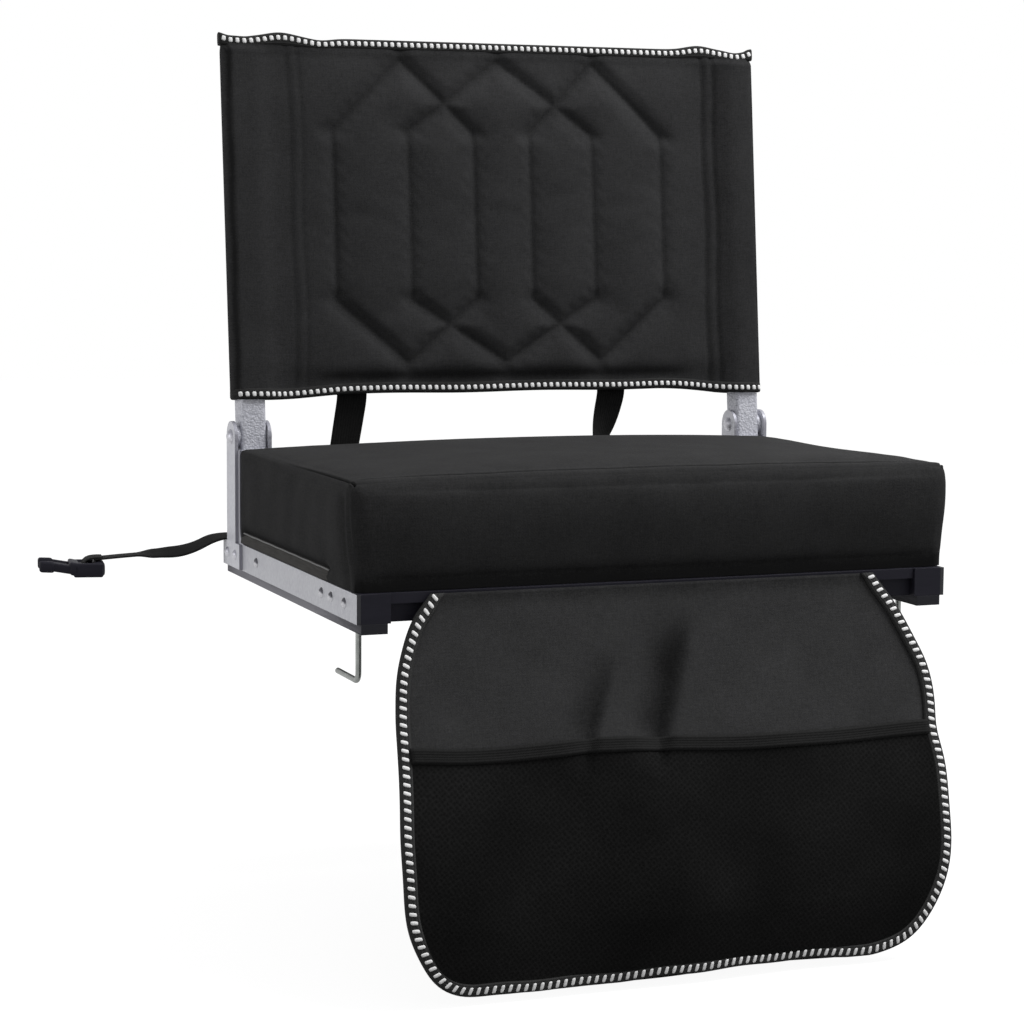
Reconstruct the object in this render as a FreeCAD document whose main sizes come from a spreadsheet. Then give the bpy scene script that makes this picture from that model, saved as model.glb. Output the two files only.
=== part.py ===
import FreeCAD, Part
import math
import os
import Sketcher

# Folding bleacher seat, millimetres, +Z up, the front faces -Y.
# The origin is the middle of the runners' underside, where the seat stands on the plank.

os.makedirs("parts", exist_ok=True)
doc = FreeCAD.newDocument("BleacherSeat")
sheet = doc.addObject("Spreadsheet::Sheet", "Sizes")
V = FreeCAD.Vector
nodes = []


class Size:
    """A number together with the spreadsheet expression that it comes from."""

    def __init__(self, value, text):
        self.value = value
        self.text = text

    def __float__(self):
        return self.value

    def __add__(self, other):
        other = as_size(other)
        return Size(self.value + other.value, f"({self.text} + {other.text})")

    def __sub__(self, other):
        other = as_size(other)
        return Size(self.value - other.value, f"({self.text} - {other.text})")

    def __mul__(self, other):
        other = as_size(other)
        return Size(self.value * other.value, f"({self.text} * {other.text})")

    def __truediv__(self, other):
        other = as_size(other)
        return Size(self.value / other.value, f"({self.text} / {other.text})")

    def __neg__(self):
        return Size(-self.value, f"(0 - {self.text})")


def as_size(number):
    if isinstance(number, Size):
        return number
    return Size(float(number), f"({float(number)})")


def size(alias, number, note):
    """One row of the sheet: the note, the number and its alias."""
    size.row += 1
    sheet.set(f"A{size.row}", note)
    sheet.set(f"B{size.row}", str(number))
    sheet.setAlias(f"B{size.row}", alias)
    sheet.recompute()
    return Size(float(sheet.get(alias)), f"Sizes.{alias}")


size.row = 0


def cosine(angle):
    return Size(math.cos(math.radians(angle.value)), f"cos({angle.text} * 1 deg)")


def sine(angle):
    return Size(math.sin(math.radians(angle.value)), f"sin({angle.text} * 1 deg)")


# Base frame
half_width = size("half_width", 215, "mid-plane to the outer face of a side plate")
base_depth = size("base_depth", 324, "length of the side beams, front to rear")
runner_height = size("runner_height", 6.8, "rubber runner, height")
runner_width = size("runner_width", 18, "rubber runner, width")
runner_inset = size("runner_inset", 3, "runner's outer side, inboard of the side plate")
rail_height = size("rail_height", 19.4, "height of the side beams and the plate's rail")
rail_rear_gap = size("rail_rear_gap", 8, "beam's rear end behind the plate's rail")
plate_wall = size("plate_wall", 2.7, "side plate, thickness")
beam_width = size("beam_width", 20.4, "side beam, width")
bar_depth = size("bar_depth", 20, "middle and rear crossbar, front to rear")
front_bar_set = size("front_bar_set", 1.8, "front crossbar's upper front face, behind the beams' front ends")
front_bar_depth = size("front_bar_depth", 30, "front crossbar, front to rear")
bar_step = size("bar_step", 5, "front crossbar, lower face set back")
bar_lip = size("bar_lip", 7, "front crossbar, height of the upper lip")
middle_bar_set = size("middle_bar_set", 59.1, "middle crossbar's centre, ahead of the pivot")
rear_bar_set = size("rear_bar_set", 10.5, "rear crossbar's centre, behind the pivot")
board_wall = size("board_wall", 8.5, "seat board, thickness")
board_inset = size("board_inset", 7.5, "seat board's side edge, inboard of the side plate")
board_set = size("board_set", 6.5, "seat board's front edge, behind the beams' front ends")
board_rear_gap = size("board_rear_gap", 2.5, "seat board's rear edge, ahead of the arms")

# Hinge of the back
pivot_set = size("pivot_set", 30.5, "pivot, ahead of the beams' rear ends")
pivot_rise = size("pivot_rise", 8.4, "pivot above the cushion's top edge")
hinge_wall = size("hinge_wall", 2.5, "hinge plate, thickness")
neck_width = size("neck_width", 23, "hinge plate, width of the upper part")
foot_width = size("foot_width", 44, "hinge plate, width of the foot")
foot_lift = size("foot_lift", 0.7, "hinge plate's foot above the rail's lower edge")
foot_height = size("foot_height", 18.5, "hinge plate's foot, height")
arm_reach = size("arm_reach", 15, "side plate's arm, front edge ahead of the pivot")
arm_drop = size("arm_drop", 9, "side plate's arm, top edge below the pivot")
arm_fillet = size("arm_fillet", 12, "side plate, fillet between arm and rail")
recline = size("recline", 5.8, "lean of the back behind upright, degrees")
pin_radius = size("pin_radius", 4, "hinge pin, radius")
pin_round = size("pin_round", 6.6, "hinge pin, radius of the domed head")
spacer_radius = size("spacer_radius", 8, "hinge spacer and washer, outer radius")
play = size("play", 0.1, "side play at each face of a spacer or washer")
fit_gap = size("fit_gap", 0.05, "radial clearance of pins, rivets, screws and hook rods")
seat_gap = size("seat_gap", 0.3, "clearance between pieces that rest on each other")
stop_height = size("stop_height", 11, "recline stop, height")
stop_wall = size("stop_wall", 2.7, "recline stop, thickness")
stop_short = size("stop_short", 1.2, "recline stop's end short of the inner hinge plate")

# Uprights
tube_side = size("tube_side", 19, "upright, outer side of the square tube")
tube_wall = size("tube_wall", 1.5, "upright, wall")
tube_corner = size("tube_corner", 2.5, "upright, outer corner radius")
tube_foot = size("tube_foot", 12, "upright below the pivot")
tube_short = size("tube_short", 19.1, "upright's top below the back's top edge")
cap_wall = size("cap_wall", 2.5, "upright cap, height above the tube")
cap_plug = size("cap_plug", 10, "upright cap, depth in the tube")

# Fasteners
rivet_radius = size("rivet_radius", 2.5, "hinge rivet, radius")
rivet_round = size("rivet_round", 4.6, "hinge rivet, radius of the domed head")
rivet_spacing = size("rivet_spacing", 20, "hinge rivets, distance apart")
rivet_lift = size("rivet_lift", 10.4, "hinge rivets above the rail's lower edge")
rivet_bite = size("rivet_bite", 14, "rear hinge rivet, length in the rear crossbar")
screw_radius = size("screw_radius", 2, "screw, radius of the shank")
screw_round = size("screw_round", 4.2, "rail screw, radius of the domed head")
screw_lift = size("screw_lift", 10.7, "rail screws above the rail's lower edge")
screw_bite = size("screw_bite", 15, "crossbar screw, length in the crossbar")
plate_bite = size("plate_bite", 14, "plate screw, length in the beam")
front_screw_set = size("front_screw_set", 24.7, "screw of the front crossbar, behind its front face")
plate_screw_set = size("plate_screw_set", 28.8, "front plate screw, behind the front crossbar's screw")
plate_screw_gap = size("plate_screw_gap", 21, "rear plate screw, behind the front plate screw")
board_screw_inset = size("board_screw_inset", 65, "outer board screws, inboard of the side plate")
board_screw_head = size("board_screw_head", 4, "board screw, head radius")
board_screw_sink = size("board_screw_sink", 2.5, "board screw, head height in the board")
board_screw_length = size("board_screw_length", 20, "board screw, whole length")

# Hooks
hook_inset = size("hook_inset", 0.8, "hook rod, inboard of the beam's centre line")
hook_set = size("hook_set", 12.1, "hook rod, behind the front crossbar's screw")
rod_radius = size("rod_radius", 2, "hook rod, radius")
hook_drop = size("hook_drop", 37, "hook foot's centre line below the runners")
hook_bend = size("hook_bend", 6, "hook, bend radius of the centre line")
hook_reach = size("hook_reach", 44.5, "hook foot, from the rod's centre to its tip")
clip_radius = size("clip_radius", 5, "hook clip, radius")
clip_wall = size("clip_wall", 1, "hook clip, thickness")
clip_room = size("clip_room", 1, "room around the clip in the beam")
clip_sink = size("clip_sink", 5, "recess for the clip in the beam's top")
rod_above_clip = size("rod_above_clip", 1.5, "rod above its clip")
runner_room = size("runner_room", 0.3, "runner's hole, clearance around the rod")

# Seat cushion
cover_wall = size("cover_wall", 2, "seat cover, thickness")
cover_over = size("cover_over", 0.5, "seat cover at the front, outboard of the side plate")
cover_rear_inset = size("cover_rear_inset", 1.3, "seat cover at the rear, inboard of the arm")
cover_waist = size("cover_waist", 1.8, "seat cover, narrower half way to the rear")
cover_taper = size("cover_taper", 2, "seat cover, narrower at the bottom")
cover_draw = size("cover_draw", 2.2, "seat cover, sides drawn in at half height")
cover_set = size("cover_set", 4, "seat cover's front face, behind the beams' front ends")
cover_lift = size("cover_lift", 0.4, "seat cover's lower rim above the rail")
cover_rise = size("cover_rise", 60.9, "seat cover, top edge above the board")
cover_crown = size("cover_crown", 6.3, "seat cover, crown above the top edge")
cover_round = size("cover_round", 8, "seat cover, rounding of the front and rear edges")
hem_set = size("hem_set", 58, "front end of the raised side hem, behind the front face")

# Back cover
back_bottom = size("back_bottom", 27.8, "lower edge of the back above the pivot")
back_height = size("back_height", 267.3, "back, height")
back_over = size("back_over", 1.4, "back's side edge, outboard of the side plate")
seam_inset = size("seam_inset", 46, "sleeve seam, inboard of the side plate")
sleeve_depth = size("sleeve_depth", 11.3, "sleeve, half thickness")
seam_depth = size("seam_depth", 6, "seam and rear face, from the tube's centre plane")
pad_depth = size("pad_depth", 10.5, "pad's crown in front of the tube's centre plane")
edge_depth = size("edge_depth", 3.2, "half thickness at the bound edges")
binding_height = size("binding_height", 7.2, "edge binding of the back, height")
tube_room = size("tube_room", 0.5, "clearance around the tube in its sleeve")
foam_depth = size("foam_depth", 4.3, "back foam, half thickness")
foam_inset = size("foam_inset", 9, "back foam's side edge, inboard of the sleeve seam")
foam_margin = size("foam_margin", 20, "back foam, below and above the cover's slopes")
pad_slope_low = size("pad_slope_low", 18, "pad, length of its lower slope")
pad_slope_top = size("pad_slope_top", 34, "pad, length of its upper slope")
sleeve_room = size("sleeve_room", 2, "room above the upright's cap in the sleeve")
quilt_depth = size("quilt_depth", 2.2, "quilting groove, depth")
quilt_width = size("quilt_width", 3, "quilting groove, half width at the top")
quilt_outer_share = size("quilt_outer_share", 0.793, "outer quilting line, share of the way to the seam")
quilt_middle_share = size("quilt_middle_share", 0.444, "middle hexagon's upright lines, share of that way")
quilt_inner_share = size("quilt_inner_share", 0.136, "inner quilting line, share of that way")
quilt_low = size("quilt_low", 72, "lower ends of the upright quilting lines, from the back's lower edge")
quilt_high_drop = size("quilt_high_drop", 69.3, "upper ends of those lines, from the back's top edge")
quilt_foot = size("quilt_foot", 24, "lower points of the hexagons")
quilt_top_drop = size("quilt_top_drop", 14.3, "upper points of the hexagons, from the back's top edge")

# Straps behind the back
strap_width = size("strap_width", 23.5, "back strap, width")
strap_wall = size("strap_wall", 1.5, "webbing, thickness")
left_strap_inset = size("left_strap_inset", 96, "left back strap's upper end, inboard of the side plate")
left_strap_slant = size("left_strap_slant", 10, "left back strap's lower end, left of its upper end")
right_strap_inset = size("right_strap_inset", 123, "right back strap's upper end, inboard of the side plate")
right_strap_slant = size("right_strap_slant", 18, "right back strap's lower end, left of its upper end")
strap_tab = size("strap_tab", 17, "length of strap on the rear crossbar")
strap_lap = size("strap_lap", 6, "length of strap on the back's lower binding")
clamp_wall = size("clamp_wall", 1.5, "strap clamp, thickness")
clamp_height = size("clamp_height", 9, "strap clamp, height")
clamp_screw_bite = size("clamp_screw_bite", 12, "clamp screw, length in the frame")

# Closing strap and its buckle
closing_width = size("closing_width", 19, "closing strap, width")
closing_inset = size("closing_inset", 16, "closing strap's anchored end, inboard of the side plate")
closing_set = size("closing_set", 10.5, "closing strap's anchored end, ahead of the beam's rear end")
closing_turn = size("closing_turn", 8, "closing strap's direction, degrees behind straight left")
closing_lift = size("closing_lift", 0.5, "closing strap above the beam")
closing_flat = size("closing_flat", 21, "closing strap, run on the beam")
closing_step = size("closing_step", 23.5, "closing strap, length of each further run along the ground")
closing_first_share = size("closing_first_share", 0.715, "closing strap, share of its height after the first fall")
closing_second_share = size("closing_second_share", 0.56, "closing strap, share after the second fall")
closing_third_share = size("closing_third_share", 0.5, "closing strap, share after the third fall")
closing_end_share = size("closing_end_share", 0.9, "closing strap at the buckle, share of the buckle's height")
buckle_length = size("buckle_length", 41, "buckle, length")
buckle_body = size("buckle_body", 19, "buckle, length of its body")
buckle_half = size("buckle_half", 13.5, "buckle, half width")
buckle_wall = size("buckle_wall", 11, "buckle, height of its body")

# Front flap
flap_set = size("flap_set", 1.2, "flap's hinge line, ahead of the front crossbar")
flap_drop = size("flap_drop", 1, "flap's hinge line, below the crossbar's top")
flap_length = size("flap_length", 254, "flap, height as it hangs")
flap_knee = size("flap_knee", 124, "flap, drop to the middle of its hang")
flap_knee_out = size("flap_knee_out", 34, "flap, forward of the hinge line at the knee")
flap_bow_upper = size("flap_bow_upper", 2.5, "flap, bow of its upper half")
flap_out = size("flap_out", 54, "flap, forward of the hinge line at its lower edge")
flap_bow_lower = size("flap_bow_lower", 7, "flap, bow of its lower half")
flap_inset = size("flap_inset", 16.6, "flap's side edge, inboard of the side plate")
flap_waist_inset = size("flap_waist_inset", 3.4, "flap, narrower at the shoulder's lower end")
flap_waist = size("flap_waist", 89, "flap, drop to the shoulder's lower end")
flap_top_inset = size("flap_top_inset", 38.4, "flap, narrower at the hinge line")
flap_shoulder_inset = size("flap_shoulder_inset", 13.9, "flap, narrower on the shoulder")
flap_shoulder = size("flap_shoulder", 36, "flap, drop to the middle of the shoulder")
flap_corner = size("flap_corner", 60, "flap, lower corner radius")
flap_wall = size("flap_wall", 1.8, "flap panel, thickness")
flap_binding_width = size("flap_binding_width", 9.5, "flap binding, width")
flap_binding_wall = size("flap_binding_wall", 3.9, "flap binding, thickness")
pocket_drop = size("pocket_drop", 99, "flap, drop to the pocket's upper edge")
hem_width = size("hem_width", 10, "pocket hem, height")
hem_wall = size("hem_wall", 1.7, "pocket hem, thickness")
pocket_wall = size("pocket_wall", 1, "pocket mesh, thickness")
pocket_gap = size("pocket_gap", 0.4, "gap between the panel and the pocket")

# Sizes that follow from the ones above
base_front = -(base_depth / 2)
base_rear = base_depth / 2
rail_low = runner_height
rail_top = runner_height + rail_height
board_top = rail_top + board_wall
cover_edge = board_top + cover_rise
pivot_back = base_rear - pivot_set
pivot_height = cover_edge + pivot_rise
arm_height = pivot_height - arm_drop
rivet_height = rail_low + rivet_lift
screw_height = rail_low + screw_lift
front_bar_front = base_front + front_bar_set
front_screw = front_bar_front + front_screw_set
plate_screw_front = front_screw + plate_screw_set
plate_screw_rear = plate_screw_front + plate_screw_gap
middle_bar_back = pivot_back - middle_bar_set
rear_bar_back = pivot_back + rear_bar_set
board_half = half_width - board_inset
board_front = base_front + board_set
board_screw_half = half_width - board_screw_inset
beam_outer = half_width - plate_wall
beam_inner = beam_outer - beam_width
tube_centre = beam_outer - beam_width / 2
inner_plate_in = beam_inner - hinge_wall
arm_front = pivot_back - arm_reach
board_rear = arm_front - board_rear_gap
hook_half = tube_centre - hook_inset
hook_front = front_screw + hook_set
neck_front = pivot_back - neck_width / 2
neck_rear = pivot_back + neck_width / 2
lean_cos = cosine(recline)
lean_sin = sine(recline)
tube_low_front = pivot_back - (tube_side / 2) * lean_cos - tube_foot * lean_sin
bore_radius = pin_radius + fit_gap
rivet_bore = rivet_radius + fit_gap
screw_bore = screw_radius + fit_gap
rod_bore = rod_radius + fit_gap
cover_low = rail_top + cover_lift
cover_front_half = half_width + cover_over
cover_rear_half = beam_outer - cover_rear_inset
cover_front = base_front + cover_set
stop_rear = tube_low_front - seat_gap
cover_rear = stop_rear - stop_wall - seat_gap
hem_front = cover_front + hem_set
tube_rise = back_bottom + back_height - tube_short
quilt_high = back_height - quilt_high_drop
quilt_top = back_height - quilt_top_drop
back_half = half_width + back_over
seam_half = half_width - seam_inset
foam_half = seam_half - foam_inset
quilt_outer = seam_half * quilt_outer_share
quilt_middle = seam_half * quilt_middle_share
quilt_inner = seam_half * quilt_inner_share
left_strap_top = -(half_width - left_strap_inset)
left_strap_foot = left_strap_top - left_strap_slant
right_strap_top = half_width - right_strap_inset
right_strap_foot = right_strap_top - right_strap_slant
closing_left = -(half_width - closing_inset)
closing_back = base_rear - closing_set
flap_root = front_bar_front - flap_set
flap_top = rail_top - flap_drop
flap_half = half_width - flap_inset
flap_waist_half = flap_half - flap_waist_inset
flap_top_half = flap_half - flap_top_inset
flap_shoulder_half = flap_half - flap_shoulder_inset

AXES = ("x", "y", "z")
TURNS = {
    "+x": FreeCAD.Rotation(V(0, 1, 0), 90),
    "-x": FreeCAD.Rotation(V(0, 1, 0), -90),
    "+y": FreeCAD.Rotation(V(1, 0, 0), -90),
    "-y": FreeCAD.Rotation(V(1, 0, 0), 90),
    "+z": FreeCAD.Rotation(),
    "-z": FreeCAD.Rotation(V(1, 0, 0), 180),
}


def bind(item, name, amount):
    item.setExpression(name, as_size(amount).text)


def put(item, point):
    for axis, amount in zip(AXES, point):
        bind(item, f"Placement.Base.{axis}", amount)


def side_span(sign, near, far):
    """Low and high x of something between two distances from the mid-plane."""
    if sign < 0:
        return (-far, -near)
    return (near, far)


def block(name, x, y, z):
    item = doc.addObject("Part::Box", name)
    for side, (low, high) in zip(("Length", "Width", "Height"), (x, y, z)):
        bind(item, side, high - low)
    put(item, (x[0], y[0], z[0]))
    return item


def rod(name, heading, start, length, radius):
    item = doc.addObject("Part::Cylinder", name)
    item.Placement = FreeCAD.Placement(V(0, 0, 0), TURNS[heading])
    bind(item, "Radius", radius)
    bind(item, "Height", length)
    put(item, start)
    return item


def dome(name, heading, start, radius):
    """Cap of a ball, 60 degrees wide: its height is half the ball's radius."""
    item = doc.addObject("Part::Sphere", name)
    item.Placement = FreeCAD.Placement(V(0, 0, 0), TURNS[heading])
    item.Angle1 = 30
    bind(item, "Radius", radius)
    sign = 1 if heading[0] == "+" else -1
    shift = radius * (-0.5 * sign)
    put(item, [point + shift if axis == heading[1] else point for axis, point in zip(AXES, start)])
    return item


def cut(name, base, tools):
    item = doc.addObject("Part::Cut", name)
    item.Base = base
    item.Tool = tools[0] if len(tools) == 1 else group(name + "_tools", tools)
    return item


def fuse(name, pieces):
    item = doc.addObject("Part::MultiFuse", name)
    item.Shapes = pieces
    return item


def group(name, pieces):
    item = doc.addObject("Part::Compound", name)
    item.Links = pieces
    return item


def keep(item, label):
    item.Label = label
    nodes.append(item)
    return item


def feature(label, shape):
    item = doc.addObject("Part::Feature", label)
    item.Shape = shape
    return keep(item, label)


def lean_back(item):
    """Place a piece drawn upright around the pivot where the reclined back stands."""
    item.Placement = FreeCAD.Placement(V(0, 0, 0), FreeCAD.Rotation(V(-1, 0, 0), recline.value))
    bind(item, "Placement.Base.y", pivot_back)
    bind(item, "Placement.Base.z", pivot_height)
    bind(item, "Placement.Rotation.Angle", recline)


def plane_of(body, role):
    return [plane for plane in body.Origin.OriginFeatures if plane.Role == role][0]


def new_sketch(body, role):
    sketch = body.newObject("Sketcher::SketchObject", body.Name + "_" + role)
    sketch.AttachmentSupport = [(plane_of(body, role), "")]
    sketch.MapMode = "FlatFace"
    return sketch


def fix(sketch, kind, *where):
    """Add one dimension whose value comes from the sheet."""
    amount = as_size(where[-1])
    index = sketch.addConstraint(Sketcher.Constraint(kind, *where[:-1], amount.value))
    sketch.setExpression(f"Constraints[{index}]", amount.text)


def draw_outline(sketch, corners):
    """Closed outline; a corner is (h, v) or (h, v, centre h, centre v, radius, clockwise)."""
    count = len(corners)
    first = sketch.GeometryCount
    starts = []
    for index, corner in enumerate(corners):
        here = V(float(corner[0]), float(corner[1]), 0)
        after = corners[(index + 1) % count]
        there = V(float(after[0]), float(after[1]), 0)
        if len(corner) == 2:
            sketch.addGeometry(Part.LineSegment(here, there))
            starts.append(1)
            continue
        centre = V(float(corner[2]), float(corner[3]), 0)
        clockwise = corner[5]
        begin, end = (there, here) if clockwise else (here, there)
        angle_begin = math.atan2(begin.y - centre.y, begin.x - centre.x)
        angle_end = math.atan2(end.y - centre.y, end.x - centre.x)
        circle = Part.Circle(centre, V(0, 0, 1), float(corner[4]))
        sketch.addGeometry(Part.ArcOfCircle(circle, angle_begin, angle_end))
        starts.append(2 if clockwise else 1)
    for index, corner in enumerate(corners):
        after = (index + 1) % count
        tie = (first + index, 3 - starts[index], first + after, starts[after])
        sketch.addConstraint(Sketcher.Constraint("Coincident", *tie))
        fix(sketch, "DistanceX", -1, 1, first + index, starts[index], corner[0])
        fix(sketch, "DistanceY", -1, 1, first + index, starts[index], corner[1])
        if len(corner) > 2:
            fix(sketch, "Radius", first + index, corner[4])


def draw_hole(sketch, h, v, radius):
    index = sketch.addGeometry(Part.Circle(V(float(h), float(v), 0), V(0, 0, 1), float(radius)))
    fix(sketch, "DistanceX", -1, 1, index, 3, h)
    fix(sketch, "DistanceY", -1, 1, index, 3, v)
    fix(sketch, "Radius", index, radius)


def plate(label, x_low, wall, corners, holes):
    """Flat plate standing in the YZ plane."""
    body = doc.addObject("PartDesign::Body", label)
    sketch = new_sketch(body, "YZ_Plane")
    draw_outline(sketch, corners)
    for hole in holes:
        draw_hole(sketch, *hole)
    pad = body.newObject("PartDesign::Pad", label + "_pad")
    pad.Profile = sketch
    bind(pad, "Length", wall)
    bind(body, "Placement.Base.x", x_low)
    return keep(body, label)


def edge_line(a, b):
    return Part.LineSegment(a, b).toShape()


def edge_arc(a, through, b):
    return Part.Arc(a, through, b).toShape()


# Side plates: a rail with an upright arm at the rear
rail_rear = base_rear - rail_rear_gap
side_plate_outline = [
    (base_front, rail_low),
    (rail_rear, rail_low),
    (rail_rear, rail_top),
    (neck_rear, rail_top),
    (neck_rear, arm_height),
    (arm_front, arm_height),
    (arm_front, rail_top + arm_fillet, arm_front - arm_fillet, rail_top + arm_fillet, arm_fillet, True),
    (arm_front - arm_fillet, rail_top),
    (base_front, rail_top),
]
rivet_front = pivot_back - rivet_spacing / 2
rivet_rear = pivot_back + rivet_spacing / 2
rail_screws = (front_screw, plate_screw_front, plate_screw_rear, middle_bar_back)
side_plate_holes = [(at, screw_height, screw_bore) for at in rail_screws]
side_plate_holes += [(at, rivet_height, rivet_bore) for at in (rivet_front, rivet_rear)]
plate("left_side_plate", -half_width, plate_wall, side_plate_outline, side_plate_holes)
plate("right_side_plate", beam_outer, plate_wall, side_plate_outline, side_plate_holes)

# Hinge plates: a wide foot and a neck with a round top
foot_low = rail_low + foot_lift
foot_top = foot_low + foot_height
foot_front = pivot_back - foot_width / 2
foot_rear = pivot_back + foot_width / 2
hinge_outline = [
    (foot_front, foot_low),
    (foot_rear, foot_low),
    (foot_rear, foot_top),
    (neck_rear, foot_top),
    (neck_rear, pivot_height, pivot_back, pivot_height, neck_width / 2, False),
    (pivot_back, pivot_height + neck_width / 2, pivot_back, pivot_height, neck_width / 2, False),
    (neck_front, pivot_height),
    (neck_front, foot_top),
    (foot_front, foot_top),
]
hinge_holes = [(pivot_back, pivot_height, bore_radius)]
hinge_holes += [(at, rivet_height, rivet_bore) for at in (rivet_front, rivet_rear)]
plate("left_outer_hinge_plate", -(half_width + hinge_wall), hinge_wall, hinge_outline, hinge_holes)
plate("right_outer_hinge_plate", half_width, hinge_wall, hinge_outline, hinge_holes)
plate("left_inner_hinge_plate", -beam_inner, hinge_wall, hinge_outline, hinge_holes)
plate("right_inner_hinge_plate", inner_plate_in, hinge_wall, hinge_outline, hinge_holes)

# Crossbars, drawn as sections in the YZ plane
front_bar_rear = front_bar_front + front_bar_depth
front_bar_outline = [
    (front_bar_front + bar_step, rail_low),
    (front_bar_rear, rail_low),
    (front_bar_rear, rail_top),
    (front_bar_front, rail_top),
    (front_bar_front, rail_top - bar_lip),
    (front_bar_front + bar_step, rail_top - bar_lip),
]


def board_screw_holes(name, y, radius, low, high):
    holes = []
    for step in (-1, 0, 1):
        start = (board_screw_half * step, y, low)
        holes.append(rod(f"{name}_{step + 1}", "+z", start, high - low, radius))
    return holes


def bar_end_holes(name, y, z, radius, half_length, bite):
    ends = []
    ends.append(rod(name + "_left", "+x", (-half_length, y, z), bite, radius))
    ends.append(rod(name + "_right", "-x", (half_length, y, z), bite, radius))
    return ends


board_screw_low = board_top - board_screw_length
front_bar_body = doc.addObject("PartDesign::Body", "front_crossbar_section")
front_bar_sketch = new_sketch(front_bar_body, "YZ_Plane")
draw_outline(front_bar_sketch, front_bar_outline)
front_bar_pad = front_bar_body.newObject("PartDesign::Pad", "front_crossbar_pad")
front_bar_pad.Profile = front_bar_sketch
bind(front_bar_pad, "Length", beam_inner * 2)
bind(front_bar_body, "Placement.Base.x", -beam_inner)
front_bar_holes = bar_end_holes("front_bar_end", front_screw, screw_height, screw_bore, beam_inner, screw_bite)
front_bar_holes += board_screw_holes("front_bar_top", front_screw, screw_bore, board_screw_low, rail_top)
keep(cut("front_crossbar_drilled", front_bar_body, front_bar_holes), "front_crossbar")

bar_z = (rail_low, rail_top)
middle_span = (middle_bar_back - bar_depth / 2, middle_bar_back + bar_depth / 2)
middle_bar = block("middle_bar", (-beam_inner, beam_inner), middle_span, bar_z)
middle_holes = bar_end_holes("middle_end", middle_bar_back, screw_height, screw_bore, beam_inner, screw_bite)
middle_holes += board_screw_holes("middle_top", middle_bar_back, screw_bore, board_screw_low, rail_top)
keep(cut("middle_bar_drilled", middle_bar, middle_holes), "middle_crossbar")

rear_bar_rear = rear_bar_back + bar_depth / 2
rear_span = (rear_bar_back - bar_depth / 2, rear_bar_rear)
rear_bar = block("rear_bar", (-inner_plate_in, inner_plate_in), rear_span, bar_z)
rear_holes = bar_end_holes("rear_end", rivet_rear, rivet_height, rivet_bore, inner_plate_in, rivet_bite)
clamp_screw_height = rail_top - strap_tab / 2 - 1
strap_feet = (left_strap_foot, right_strap_foot)
for index, strap_foot in enumerate(strap_feet):
    start = (strap_foot, rear_bar_rear, clamp_screw_height)
    rear_holes.append(rod(f"rear_clamp_{index}", "-y", start, clamp_screw_bite, screw_bore))
keep(cut("rear_bar_drilled", rear_bar, rear_holes), "rear_crossbar")

# Side beams, runners and recline stops
clip_floor = rail_top - clip_sink
closing_dir = (-cosine(closing_turn), sine(closing_turn))
closing_screw_along = closing_flat * 0.3
closing_screw_at = (closing_left + closing_dir[0] * closing_screw_along,
                    closing_back + closing_dir[1] * closing_screw_along)
for side, sign in (("left", -1), ("right", 1)):
    x_span = side_span(sign, beam_inner, beam_outer)
    beam = block(side + "_beam_bar", x_span, (base_front, base_rear), (rail_low, rail_top))
    across = side + "_beam_hole_"
    outer_x = beam_outer * sign
    heading = "+x" if sign < 0 else "-x"
    tools = []
    for index, at in enumerate((front_screw, middle_bar_back)):
        tools.append(rod(f"{across}long_{index}", heading, (outer_x, at, screw_height), beam_width, screw_bore))
    for index, at in enumerate((plate_screw_front, plate_screw_rear)):
        tools.append(rod(f"{across}short_{index}", heading, (outer_x, at, screw_height), plate_bite, screw_bore))
    for index, at in enumerate((rivet_front, rivet_rear)):
        tools.append(rod(f"{across}rivet_{index}", heading, (outer_x, at, rivet_height), beam_width, rivet_bore))
    hook_x = hook_half * sign
    tools.append(rod(across + "hook", "+z", (hook_x, hook_front, rail_low), clip_floor - rail_low, rod_bore))
    tools.append(rod(across + "clip", "+z", (hook_x, hook_front, clip_floor), clip_sink, clip_radius + clip_room))
    if sign < 0:
        start = (closing_screw_at[0], closing_screw_at[1], rail_top)
        tools.append(rod(across + "clamp", "-z", start, clamp_screw_bite, screw_bore))
    keep(cut(side + "_beam_drilled", beam, tools), side + "_side_beam")

    runner_outer = half_width - runner_inset
    x_span = side_span(sign, runner_outer - runner_width, runner_outer)
    runner = block(side + "_runner_bar", x_span, (base_front, base_rear), (as_size(0), runner_height))
    hook_hole = rod(side + "_runner_hole", "+z", (hook_x, hook_front, as_size(0)), runner_height,
                    rod_radius + runner_room)
    keep(cut(side + "_runner_drilled", runner, [hook_hole]), side + "_runner")

    x_span = side_span(sign, beam_inner + stop_short, beam_outer)
    stop = block(side + "_stop", x_span, (stop_rear - stop_wall, stop_rear), (arm_height - stop_height, arm_height))
    keep(stop, side + "_recline_stop")

# Seat board with sunk screws
board = block("board_panel", (-board_half, board_half), (board_front, board_rear), (rail_top, board_top))
sink_low = board_top - board_screw_sink
board_tools = []
for row, at in (("front", front_screw), ("middle", middle_bar_back)):
    board_tools += board_screw_holes("board_" + row, at, screw_bore, rail_top, sink_low)
    board_tools += board_screw_holes("board_sink_" + row, at, board_screw_head + fit_gap, sink_low, board_top)
keep(cut("board_drilled", board, board_tools), "seat_board")
board_screws = []
for row, at in (("front", front_screw), ("middle", middle_bar_back)):
    shanks = board_screw_holes("board_shank_" + row, at, screw_radius, board_screw_low, sink_low)
    heads = board_screw_holes("board_head_" + row, at, board_screw_head, sink_low, board_top)
    for index, (shank, head) in enumerate(zip(shanks, heads)):
        board_screws.append(fuse(f"board_screw_{row}_{index}", [shank, head]))
keep(group("board_screw_set", board_screws), "board_screws")

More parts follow.
